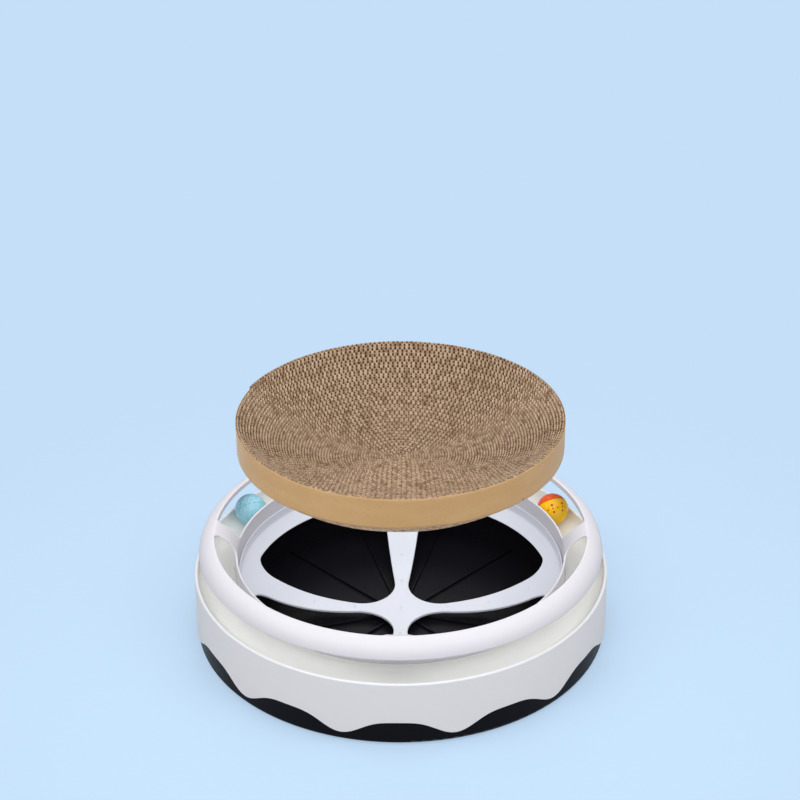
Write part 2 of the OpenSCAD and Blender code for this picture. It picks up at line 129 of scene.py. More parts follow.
class Recipe:
    """The node tree of one material."""

    def __init__(self, name: str) -> None:
        """Starts an empty material of that name."""
        self.material = bpy.data.materials.new(name)
        self.material.use_nodes = True
        self.tree = self.material.node_tree
        self.tree.nodes.clear()

    def node(
        self,
        kind: str,
        settings: Union[Mapping[str, Any], None] = None,
        sockets: Union[Mapping[Any, Any], None] = None,
        output: Any = 0,
    ) -> Value:
        """Adds a node.

        Args:
            kind: The node's type.
            settings: Its own settings, set first.
            sockets: Values or links of its input sockets, by name or number.
            output: Name or number of the output to give back.

        Returns:
            That output.
        """
        made = self.tree.nodes.new(kind)
        for name, setting in (settings or {}).items():
            setattr(made, name, setting)
        for key, value in (sockets or {}).items():
            socket = made.inputs[key]
            if isinstance(value, Value):
                self.tree.links.new(value.socket, socket)
            elif socket.type == "RGBA":
                socket.default_value = (*value, 1.0)
            else:
                socket.default_value = value
        return Value(self, made.outputs[output] if len(made.outputs) else None)

    def mix(self, share: Any, first: Any, second: Any, blend: str = "MIX") -> Value:
        """Lays a share of the second colour over the first, in the way that blend names."""
        settings = {"data_type": "RGBA", "blend_type": blend, "clamp_factor": True}
        return self.node("ShaderNodeMix", settings, {0: share, 6: first, 7: second}, 2)

    def place(self) -> Value:
        """A point's place in its own piece, in metres."""
        return self.node("ShaderNodeTexCoord", output="Object")

    def noise(self, place: Value, scale: float, detail: float = 3.0, rough: float = 0.55) -> Value:
        """Smooth noise about 0.5, with so many lumps per metre, finer layers, and strength of those."""
        sockets = {"Vector": place, "Scale": scale, "Detail": detail, "Roughness": rough}
        return self.node("ShaderNodeTexNoise", {}, sockets)

    def streaks(self, place: Value, scale: Triple, detail: float, rough: float = 0.55) -> Value:
        """Noise with its own number of lumps per metre along each axis."""
        stretched = self.node("ShaderNodeVectorMath", {"operation": "MULTIPLY"}, {0: place, 1: scale})
        return self.noise(stretched, 1.0, detail, rough)

    def axes(self, place: Value) -> tuple[Value, Value, Value]:
        """The three coordinates of a place."""
        made = self.tree.nodes.new("ShaderNodeSeparateXYZ")
        self.tree.links.new(place.socket, made.inputs[0])
        return tuple(Value(self, made.outputs[k]) for k in range(3))

    def joined(self, x: Any, y: Any, z: Any) -> Value:
        """A place from three coordinates."""
        return self.node("ShaderNodeCombineXYZ", {}, {0: x, 1: y, 2: z})

    def bump(self, height: Value, depth: float) -> Value:
        """A normal bumped by a height from 0 to 1, of which 1 stands for a depth in metres."""
        return self.node("ShaderNodeBump", {}, {"Height": height, "Distance": depth}, "Normal")

    def finish(self, **sockets: Any) -> bpy.types.Material:
        """Ends the tree in a Principled shader, with its sockets' spaces written as underscores."""
        named = {key.replace("_", " "): value for key, value in sockets.items()}
        return self.close(self.node("ShaderNodeBsdfPrincipled", {}, named))

    def close(self, shader: Value) -> bpy.types.Material:
        """Sends a shader to the output."""
        self.node("ShaderNodeOutputMaterial", {}, {"Surface": shader})
        return self.material


class Reach(Enum):
    """What a lamp lights."""

    BELOW = "everything but the lifted pieces"
    LIFTED = "the lifted pieces alone"
    DISH = "the dish alone"


class Motif(Enum):
    """What is scattered on a ball."""

    FLECKS = "flecks"
    DOTS = "dots"
    PLAIN = "plain"


@dataclass(frozen=True)
class MouldedPlastic:
    """Moulded plastic, with its gloss, faint mottling, fine grain and handling marks, and where given a
    painted shade tint inside a radius.
    """

    name: str
    colour: Colour
    roughness: float
    coat: float = 0.0
    mottling: float = 0.03
    grain: float = 900.0
    depth: float = 0.00003
    marks: float = 0.06
    shine: float = 0.5
    # painted shade: a second tint of the same plastic inside inner_r
    inner: Union[Colour, None] = None
    inner_r: float = 0.0
    clouds: float = 9.0
    rubs: Triple = (60.0, 60.0, 420.0)

    def material(self) -> bpy.types.Material:
        """Makes the material.

        Returns:
            The material.
        """
        recipe = Recipe(self.name)
        place = recipe.place()
        cloud = recipe.noise(place, self.clouds, 2.0)
        speck = recipe.noise(place, self.grain, 2.0)
        rubbed = recipe.streaks(place, self.rubs, 4.0, 0.6)
        shade = (cloud - 0.5) * self.mottling + (speck - 0.5) * (0.5 * self.mottling) + 1.0
        grey = recipe.joined(shade, shade, shade)
        tone: Any = self.colour
        # painted shade: inside inner_r the same plastic takes another tint, as the hollow looks in shade
        if self.inner:
            x, y, _ = recipe.axes(place)
            outside = (x * x + y * y).root().ramp((self.inner_r - 1.0) * MM, (self.inner_r + 1.0) * MM)
            tone = recipe.mix(outside, self.inner, self.colour)
        base = recipe.mix(1.0, tone, grey, "MULTIPLY")
        worn = (rubbed.ramp(0.35, 0.75) - 0.4) * self.marks
        rough = worn + (speck - 0.5) * (0.4 * self.marks) + self.roughness
        return recipe.finish(
            Base_Color=base, Roughness=rough, IOR=1.49, Specular_IOR_Level=self.shine,
            Coat_Weight=self.coat, Coat_Roughness=0.08, Normal=recipe.bump(speck, self.depth),
        )


@dataclass(frozen=True)
class KraftPaper:
    """Smooth kraft liner, with long fibres, flecks, and the flutes behind it showing faintly."""

    name: str = "kraft_card"
    colour: Colour = srgb(198, 159, 110)
    dark: Colour = srgb(158, 118, 74)
    light: Colour = srgb(212, 177, 130)
    radius: float = 193.4
    flute: float = 5.82
    fibres: Triple = (260.0, 1500.0, 1.0)
    clouds: Triple = (22.0, 60.0, 1.0)
    flecks: Triple = (500.0, 1400.0, 1.0)
    relief: float = 0.00016

    def material(self) -> bpy.types.Material:
        """Makes the material.

        Returns:
            The material.
        """
        recipe = Recipe(self.name)
        place = recipe.place()
        x, y, z = recipe.axes(place)
        along = x.maths("ARCTAN2", y, x) * (self.radius * MM)
        unrolled = recipe.joined(along, z, 0.0)
        fibre = recipe.streaks(unrolled, self.fibres, 4.0, 0.65)
        cloud = recipe.streaks(unrolled, self.clouds, 3.0)
        fleck = recipe.streaks(unrolled, self.flecks, 1.0)
        base = recipe.mix(cloud.ramp(0.3, 0.75) * 0.35, self.colour, self.light)
        base = recipe.mix(fibre.ramp(0.5, 0.8) * 0.45, base, self.dark)
        base = recipe.mix(fleck.ramp(0.62, 0.74) * 0.6, base, self.dark)
        waves = (along * (TAU / (self.flute * MM))).sine()
        height = fibre * 0.5 + waves * 0.5 * cloud.ramp(0.35, 0.7)
        return recipe.finish(
            Base_Color=base, Roughness=fibre.about(0.8, 0.15), Specular_IOR_Level=0.25,
            Sheen_Weight=0.4, Sheen_Roughness=0.4, Normal=recipe.bump(height, self.relief),
        )


@dataclass(frozen=True)
class CutCard:
    """Corrugated card cut across its flutes: pale fibrous edges over walls, with painted shade deep in a
    flute and below the cut edge.
    """

    name: str = "corrugated_card"
    edge: Colour = srgb(182, 160, 140)
    edge_warm: Colour = srgb(166, 138, 110)
    wall: Colour = srgb(240, 214, 184)
    wall_deep: Colour = srgb(158, 122, 88)
    # painted shade: the dark colour of the flute cells, laid where a wall lies deep in its flute and below
    # the cut edge
    cell: Colour = srgb(84, 58, 38)
    fibres: float = 1800.0
    patches: float = 14.0
    turns: Triple = (180.0, 180.0, 40.0)
    relief: float = 0.0002

    def material(self) -> bpy.types.Material:
        """Makes the material.

        Returns:
            The material.
        """
        recipe = Recipe(self.name)
        place = recipe.place()
        facing = recipe.node("ShaderNodeNewGeometry", output="Normal")
        up = recipe.axes(facing)[2].size().ramp(0.45, 0.8)
        fibre = recipe.noise(place, self.fibres, 3.0, 0.7)
        patch = recipe.noise(place, self.patches, 3.0)
        turn = recipe.streaks(place, self.turns, 2.0)
        warm = patch.ramp(0.4, 0.7) * 0.6 + turn.ramp(0.5, 0.8) * 0.3
        edge = recipe.mix(warm, self.edge, self.edge_warm)
        wall = recipe.mix(turn.ramp(0.35, 0.75), self.wall, self.wall_deep)
        base = recipe.mix(up, wall, edge)
        # painted shade: depth in a flute and drop below the cut edge darken a point toward the cell colour
        marks = ({"attribute_name": name} for name in (FLUTE_DEPTH, EDGE_DROP))
        depth, drop = (recipe.node("ShaderNodeAttribute", mark, output="Fac") for mark in marks)
        painted_shade = ((drop.ramp(0.7, 1.1) + up) * 0.75).ramp(-0.15, 0.85)
        base = recipe.mix(depth.ramp(0.45, 0.85) * painted_shade, base, self.cell)
        base = recipe.mix(fibre.ramp(0.45, 0.75) * 0.2, base, self.wall_deep)
        return recipe.finish(
            Base_Color=base, Roughness=fibre.about(0.88, 0.1), Specular_IOR_Level=0.2,
            Normal=recipe.bump(fibre, self.relief),
        )


@dataclass(frozen=True)
class BallPlastic:
    """Shiny plastic of a ball, clear or solid, with printed dots, or with scattered flecks whose white ones
    are glitter with painted glints.
    """

    name: str
    colour: Colour
    motif: Motif = Motif.PLAIN
    first: Colour = (0.0, 0.0, 0.0)
    second: Colour = (0.0, 0.0, 0.0)
    clear: float = 0.0
    clouds: float = 120.0
    relief: float = 0.00012
    dot_r: float = 0.0185

    def material(self) -> bpy.types.Material:
        """Makes the material.

        Returns:
            The material.
        """
        recipe = Recipe(self.name)
        place = recipe.place()
        cloud = recipe.noise(place, self.clouds, 3.0)
        base = recipe.mix(cloud.ramp(0.4, 0.7) * 0.06, self.colour, (1.0, 1.0, 1.0))
        if self.motif is Motif.FLECKS:
            # the first colour is specks in the plastic; a white second colour is real glitter with its
            # sparkle painted in as glints
            flecks = ((260.0, 0.2, self.first), (300.0, 0.26, self.second), (420.0, 0.2, self.second))
            for scale, limit, colour in flecks:
                sockets = {"Vector": place, "Scale": scale}
                cell = recipe.node("ShaderNodeTexVoronoi", {"feature": "F1"}, sockets, "Distance")
                base = recipe.mix(cell.ramp(limit, limit * 0.7) * 0.85, base, colour)
        elif self.motif is Motif.DOTS:
            x, y, z = recipe.axes(place)
            turn = x.maths("ARCTAN2", y, x)
            rows = ((-0.002, 9.0, 0.0017), (-0.0062, 18.0, 0.0011), (-0.0105, 9.0, 0.0015))
            for height, count, wide in rows:
                across = (turn * (0.5 * count)).sine() * (self.dot_r * 2.0 / count)
                off = across * across + (z - height) * (z - height)
                base = recipe.mix(off.ramp(wide * wide, 0.6 * wide * wide), base, self.first)
        return recipe.finish(
            Base_Color=base, Roughness=cloud.about(0.16, 0.06), IOR=1.46,
            Transmission_Weight=self.clear, Specular_IOR_Level=0.2, Coat_Weight=0.08, Coat_Roughness=0.05,
            Normal=recipe.bump(cloud, self.relief),
        )


@dataclass(frozen=True)
class PlatedMetal:
    """Plated metal with fine turning lines."""

    name: str
    colour: Colour
    roughness: float
    stains: float = 260.0
    relief: float = 0.00002

    def material(self) -> bpy.types.Material:
        """Makes the material.

        Returns:
            The material.
        """
        recipe = Recipe(self.name)
        place = recipe.place()
        x, y, z = recipe.axes(place)
        lines = recipe.noise(recipe.joined((x * x + y * y) * 90000.0, z * 4000.0, 0.0), 1.0, 2.0)
        tarnish = recipe.noise(place, self.stains, 3.0)
        dull = tuple(0.55 * c for c in self.colour)
        base = recipe.mix(tarnish.ramp(0.45, 0.75) * 0.35, self.colour, dull)
        return recipe.finish(
            Base_Color=base, Metallic=1.0, Roughness=lines.about(self.roughness, 0.15),
            Normal=recipe.bump(lines, self.relief),
        )


@dataclass(frozen=True)
class StudioPaper:
    """The pale floor, which shows its own colour, and the object's shadow close to it."""

    name: str = "studio_floor"
    colour: Colour = srgb(197, 223, 248)
    bounce: Colour = (0.46, 0.47, 0.49)
    shading: float = 0.4
    near: float = 0.36
    far: float = 0.75

    def material(self) -> bpy.types.Material:
        """Makes the material.

        Returns:
            The material.
        """
        recipe = Recipe(self.name)
        rays = (f"Is {kind} Ray" for kind in ("Camera", "Glossy", "Transmission"))
        seen, mirrored, through = (recipe.node("ShaderNodeLightPath", output=ray) for ray in rays)
        x, y, _ = recipe.axes(recipe.place())
        close = (x * x + y * y).ramp(self.far * self.far, self.near * self.near)
        tone = recipe.mix(seen, self.bounce, self.colour)
        matte = recipe.node("ShaderNodeBsdfDiffuse", {}, {"Color": tone})
        glow = recipe.node("ShaderNodeEmission", {}, {"Color": self.colour, "Strength": 1.0})
        share = (seen + mirrored + through).ramp(0.0, 1.0) * (1.0 - close * self.shading)
        return recipe.close(recipe.node("ShaderNodeMixShader", {}, {0: share, 1: matte, 2: glow}))


# Meshes


def pairs(u: Any, v: Any) -> np.ndarray:
    """Points of a plane, one a row, from their two coordinates, either of which may be one number."""
    return np.stack(np.broadcast_arrays(u, v), axis=1)


def arc(centre: Sequence[float], radius: float, start: float, end: float, steps: int) -> np.ndarray:
    """Points along an arc in a plane, one a row, from one angle to another, in degrees."""
    a = np.radians(np.linspace(start, end, steps + 1))
    return pairs(centre[0] + radius * np.cos(a), centre[1] + radius * np.sin(a))


def polar(r: Any, angle: np.ndarray, z: Any) -> np.ndarray:
    """Points round the Z axis, by radius, angle in radians and height, along a new last axis."""
    return np.stack(np.broadcast_arrays(r * np.cos(angle), r * np.sin(angle), z), axis=-1)


def circle(count: int, start: float = 0.0) -> np.ndarray:
    """Points evenly round a circle of radius 1, of which the first lies a part of a step on."""
    a = TAU * (np.arange(count) + start) / count
    return pairs(np.cos(a), np.sin(a))


def lengths(path: np.ndarray) -> np.ndarray:
    """How far along a path each of its points lies."""
    return np.concatenate([[0.0], np.cumsum(np.linalg.norm(np.diff(path, axis=0), axis=1))])


def same_place(points: np.ndarray) -> tuple[np.ndarray, np.ndarray]:
    """Finds points that lie in one place.

    Args:
        points: The points, one a row.

    Returns:
        The number of one point in each place, and the place of each point.
    """
    keys = np.round(points * WELD_STEPS).astype(np.int64)
    _, first, back = np.unique(keys, axis=0, return_index=True, return_inverse=True)
    return first, back.reshape(-1)


def unit(rows: np.ndarray) -> np.ndarray:
    """Rows scaled to length 1."""
    return rows / np.maximum(np.linalg.norm(rows, axis=-1, keepdims=True), 1e-12)


def side_normals(profile: np.ndarray, closed: bool) -> np.ndarray:
    """Normals to the right of a profile's path, with long sides counting for more at a corner.

    Args:
        profile: Points of the path.
        closed: Whether the path comes back to its start.

    Returns:
        One unit normal a point.
    """
    step = np.roll(profile, -1, axis=0) - profile
    if not closed:
        step[-1] = 0.0
    side = pairs(step[:, 1], -step[:, 0])
    return unit(side + np.roll(side, 1, axis=0))


def inside(points: np.ndarray, outline: np.ndarray) -> np.ndarray:
    """Tells which points lie inside a closed outline.

    Args:
        points: The points, one a row.
        outline: Corners of the outline.

    Returns:
        A truth value for each point.
    """
    result = np.zeros(len(points), bool)
    for (x0, y0), (x1, y1) in zip(outline, np.roll(outline, -1, axis=0)):
        if y0 == y1:
            continue
        crosses = (y0 > points[:, 1]) != (y1 > points[:, 1])
        result ^= crosses & (points[:, 0] < x0 + (points[:, 1] - y0) * (x1 - x0) / (y1 - y0))
    return result


class Draft:
    """Points, normals and faces of one piece, gathered in millimetres."""

    def __init__(self) -> None:
        """Starts with nothing in it."""
        self.points: list[np.ndarray] = []
        self.normals: list[np.ndarray] = []
        self.faces: list[np.ndarray] = []
        self.count = 0

    def add(self, points: np.ndarray, normals: np.ndarray, faces: np.ndarray) -> None:
        """Adds points, their normals, and faces that number the points from 0.

        Args:
            points: The points, one a row.
            normals: A unit normal for each.
            faces: Point numbers, one face a row.
        """
        self.points.append(points)
        self.normals.append(normals)
        self.faces.append(np.asarray(faces, int) + self.count)
        self.count += len(points)

    def grid(self, points: np.ndarray, normals: np.ndarray, around: bool, closed: bool) -> None:
        """Adds a grid of rows and columns, whose columns turn anticlockwise for rows that go up outside.

        Args:
            points: The points, by row and column.
            normals: Their normals, by row and column.
            around: Whether the last column joins the first.
            closed: Whether the last row joins the first.
        """
        rows, columns = points.shape[:2]
        i = np.arange(rows if closed else rows - 1)[:, None]
        j = np.arange(columns if around else columns - 1)[None]
        up, on = (i + 1) % rows, (j + 1) % columns
        corners = [i * columns + j, i * columns + on, up * columns + on, up * columns + j]
        self.add(points.reshape(-1, 3), normals.reshape(-1, 3), np.stack(corners, axis=-1).reshape(-1, 4))

    def lathe(self, profile: np.ndarray, columns: int, closed: bool = True) -> None:
        """Adds a profile turned about the Z axis, whose outside lies to the right of its path.

        Args:
            profile: Radius and height of each point.
            columns: Steps round the axis.
            closed: Whether the profile comes back to its start.
        """
        a = TAU * np.arange(columns) / columns
        points, normals = (
            polar(rows[:, :1], a, rows[:, 1:]) for rows in (profile, side_normals(profile, closed))
        )
        self.grid(points, normals, True, closed)

    def build(
        self, name: str, material: bpy.types.Material, smooth: bool = True, weld: bool = True
    ) -> bpy.types.Object:
        """Makes the object.

        Args:
            name: The piece's name.
            material: Its material.
            smooth: Whether it is shaded by its own normals, or flat.
            weld: Whether points in one place become one.

        Returns:
            The object, in metres.
        """
        points, normals = np.concatenate(self.points), np.concatenate(self.normals)
        blocks = self.faces
        if weld:
            first, back = same_place(points)
            points, normals = points[first], normals[first]
            blocks = [back[block] for block in blocks]
        rings = [face for block in blocks for face in block.tolist()]
        rings = [[k for n, k in enumerate(face) if k != face[n - 1]] for face in rings]
        faces = [face for face in rings if len(face) > 2]
        mesh = bpy.data.meshes.new(name)
        mesh.from_pydata((points * MM).tolist(), [], faces)
        mesh.polygons.foreach_set("use_smooth", np.full(len(mesh.polygons), smooth))
        mesh.update()
        if smooth:
            mesh.normals_split_custom_set_from_vertices(unit(normals).tolist())
        mesh.materials.append(material)
        piece = bpy.data.objects.new(name, mesh)
        bpy.context.scene.collection.objects.link(piece)
        return piece


Surface = Callable[[np.ndarray], tuple[np.ndarray, np.ndarray, np.ndarray]]


@dataclass
class Shell:
    """A thin moulded wall that follows a surface, with openings and rounded edges."""

    surface: Surface
    edge: float
    batch: int = 500

    def triangles(
        self, outlines: Sequence[np.ndarray], filling: np.ndarray, clear: float
    ) -> tuple[np.ndarray, np.ndarray]:
        """Triangulates the space between outlines in the surface's own plane.

        Args:
            outlines: Closed outlines, the outer one first.
            filling: Points to use between them.
            clear: Least distance of a filling point from an outline.

        Returns:
            The points and the triangles.
        """
        corners = np.concatenate(outlines)
        near = np.concatenate([
            np.min(np.sum((block[:, None] - corners[None]) ** 2, axis=2), axis=1)
            for block in np.array_split(filling, max(1, len(filling) // self.batch))
        ])
        filling = filling[near > clear * clear]
        edges, first = [], 0
        for outline in outlines:
            size = len(outline)
            edges += [(first + k, first + (k + 1) % size) for k in range(size)]
            first += size
        flat = [Vector(p) for p in np.concatenate([corners, filling]).tolist()]
        found = delaunay_2d_cdt(flat, edges, [], 0, 1e-7)
        points = np.array([tuple(p) for p in found[0]])
        faces = np.array([tuple(f) for f in found[2]])
        middle = points[faces].mean(axis=1)
        kept = np.zeros(len(faces), bool)
        for outline in outlines:
            kept ^= inside(middle, outline)
        return points, faces[kept]

    def loops(self, faces: np.ndarray) -> list[list[int]]:
        """Follows the free edges of triangles.

        Args:
            faces: The triangles.

        Returns:
            Loops of point numbers, each with the triangles on its left.
        """
        sides = {(int(f[k]), int(f[(k + 1) % 3])) for f in faces for k in range(3)}
        after = {a: b for a, b in sides if (b, a) not in sides}
        rings = []
        while after:
            start, here = after.popitem()
            ring = [start]
            while here != start:
                ring.append(here)
                here = after.pop(here)
            rings.append(ring)
        return rings

    def mesh(self, draft: Draft, outlines: Sequence[np.ndarray], filling: np.ndarray, clear: float) -> None:
        """Adds the wall to a draft.

        Args:
            draft: What it is added to.
            outlines: Closed outlines, the outer one first, set back by the edges' radius.
            filling: Points to use between them.
            clear: Least distance of a filling point from an outline.
        """
        flat, faces = self.triangles(outlines, filling, clear)
        points, normals, thick = self.surface(flat)
        first, back = same_place(points)
        points, normals, thick = points[first], normals[first], thick[first]
        faces = back[faces]
        corner = points[faces]
        facing = np.cross(corner[:, 1] - corner[:, 0], corner[:, 2] - corner[:, 0])
        turned = np.sum(facing * normals[faces[:, 0]], axis=1) < 0
        faces[turned] = faces[turned][:, ::-1]
        draft.add(points, normals, faces)
        draft.add(points - thick[:, None] * normals, -normals, faces[:, ::-1])
        for ring in self.loops(faces):
            self.rim(draft, points[ring], normals[ring], thick[ring])

    def rim(self, draft: Draft, points: np.ndarray, normals: np.ndarray, thick: np.ndarray) -> None:
        """Adds a rounded edge along a loop.

        Args:
            draft: What it is added to.
            points: Points of the loop.
            normals: The surface's normals there.
            thick: The wall's thickness there.
        """
        ahead = unit(np.roll(points, -1, axis=0) - np.roll(points, 1, axis=0))
        out = unit(np.cross(ahead, normals))
        rows, facing = [], []
        for angle in np.radians([0, 30, 60, 90, 90, 120, 150, 180]):
            low = len(rows) > 3
            deep = np.where(low, thick - self.edge, self.edge) - self.edge * math.cos(angle)
            rows.append(points + out * (self.edge * math.sin(angle)) - normals * deep[:, None])
            facing.append(out * math.sin(angle) + normals * math.cos(angle))
        draft.grid(np.stack(rows[::-1]), np.stack(facing[::-1]), True, False)


# Sub-assemblies


def settle(piece: bpy.types.Object, body: str, nodes: Sequence[str]) -> bpy.types.Object:
    """Puts a piece on its body and hides the CAD nodes that it stands for.

    Args:
        piece: The piece.
        body: The body that carries it.
        nodes: Nodes that it replaces.

    Returns:
        The piece.
    """
    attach(piece, body)
    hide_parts(*nodes)
    LOG.info("%s rides on %s", piece.name, body)
    return piece


@dataclass
class Base:
    """The dark pan under everything, with its feet, screws and pivot."""

    dark: MouldedPlastic = MouldedPlastic(
        "dark_plastic", srgb(20, 19, 24), roughness=0.34, mottling=0.1, grain=700.0, depth=0.00002,
        marks=0.1, shine=0.06,
    )
    rubber: MouldedPlastic = MouldedPlastic(
        "foot_rubber", srgb(34, 34, 35), roughness=0.8, mottling=0.2, grain=1500.0, depth=0.00008
    )
    bush: MouldedPlastic = MouldedPlastic("bush_plastic", srgb(232, 229, 216), roughness=0.35)
    zinc: PlatedMetal = PlatedMetal("zinc_steel", (0.55, 0.55, 0.57), roughness=0.32)

    def dress(self) -> None:
        """Gives the CAD nodes of the base and pivot their finishes."""
        finishes = {
            self.dark: ["base_tray"], self.rubber: ["rubber_feet"], self.bush: ["pivot_bush"],
            self.zinc: ["base_screws", "thrust_washer", "retaining_washer", "retaining_screw"],
        }
        for finish, nodes in finishes.items():
            made = finish.material()
            for node in nodes:
                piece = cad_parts[node]
                piece.data.materials.clear()
                piece.data.materials.append(made)
                LOG.info("%s is finished in %s", node, finish.name)


@dataclass
class TrackBody:
    """The pale outer wall with its scalloped lip, rolled rim and ball trough, in one moulding."""

    lip_r: float = 250.35
    lip_t: float = 1.6
    lip_round: float = 0.5
    rim_r: float = 249.25
    rim_z: float = 81.6
    bead_r: float = 2.2
    wall_t: float = 2.8
    lap_z: float = 38.6
    track_out: float = 244.85
    track_z: float = 67.5
    trough_z: float = 64.7
    outer_fillet: float = 15.0
    inner_fillet: float = 8.0
    collar_out: float = 201.45
    collar_in: float = 199.45
    collar_round: float = 0.6
    ledge_r: float = 196.55
    waves: int = 12
    wave_mean: float = 24.8
    wave_rise: float = 9.2
    wave_round: float = 2.1
    wave_turn: float = -1.0
    columns: int = 720
    # the trough inside r 246 takes a yellower tint: painted shade, not a second plastic
    finish: MouldedPlastic = MouldedPlastic(
        "wall_plastic", srgb(241, 242, 246), roughness=0.42, mottling=0.02, grain=1600.0, depth=0.00002,
        shine=0.2, inner=srgb(239, 240, 236), inner_r=246.0,
    )

    @property
    def low(self) -> float:
        """Height of the scallops' lowest points."""
        return self.wave_mean - self.wave_rise - self.wave_round

    def profile(self) -> tuple[np.ndarray, np.ndarray]:
        """Draws the section, up the outside, over the rim, along the trough and back underneath.

        Returns:
            The section's points, and how far each follows the scallops.
        """
        foot = self.low + self.lip_round
        outside = np.linspace([self.lip_r, foot], [self.rim_r, self.rim_z], 15)
        top = self.track_z + self.inner_fillet
        wall, lip, tip = self.lip_r - self.wall_t, self.lip_r - self.lip_t, self.collar_round
        section = np.concatenate([
            arc((self.lip_r - self.lip_round, foot), self.lip_round, -90, -15, 5), outside[:-1],
            arc((self.rim_r - self.bead_r, self.rim_z), self.bead_r, 0, 180, 20),
            arc(
                (self.track_out - self.outer_fillet, self.track_z + self.outer_fillet),
                self.outer_fillet, 0, -90, 16,
            ),
            arc((self.collar_out + self.inner_fillet, top), self.inner_fillet, -90, -172, 10),
            arc((self.collar_out - tip, top - tip), tip, 0, 90, 4),
            arc((self.collar_in + tip, top - tip), tip, 90, 180, 4),
            [[self.collar_in, self.track_z], [self.ledge_r, self.track_z], [self.ledge_r, self.trough_z]],
            [[wall, self.trough_z], [wall, self.lap_z], [lip, self.lap_z], [lip, foot]],
            arc((lip + self.lip_round, foot), self.lip_round, 180, 262, 4),
        ])
        return section, np.clip((self.lap_z - section[:, 1]) / (self.lap_z - foot), 0.0, 1.0)

    def build(self) -> bpy.types.Object:
        """Makes the wall and trough.

        Returns:
            The piece.
        """
        section, follow = self.profile()
        normals = side_normals(section, True)
        a = TAU * np.arange(self.columns) / self.columns
        wave = self.waves * (a + math.pi / 2 - math.radians(self.wave_turn))
        lift = self.wave_mean + self.wave_rise * np.cos(wave) - self.wave_round * np.cos(2 * wave) - self.low
        z = section[:, 1, None] + follow[:, None] * lift[None]
        slope = (self.rim_r - self.lip_r) / (self.rim_z - self.low)
        outer = (section[:, 0] > self.lip_r - 0.75) & (follow > 0)
        r = section[:, 0, None] + np.where(outer, follow, 0.0)[:, None] * lift[None] * slope
        draft = Draft()
        draft.grid(polar(r, a, z), polar(normals[:, :1], a, normals[:, 1:]), True, True)
        piece = draft.build("track_wall", self.finish.material())
        return settle(piece, "base", ["track_body"])


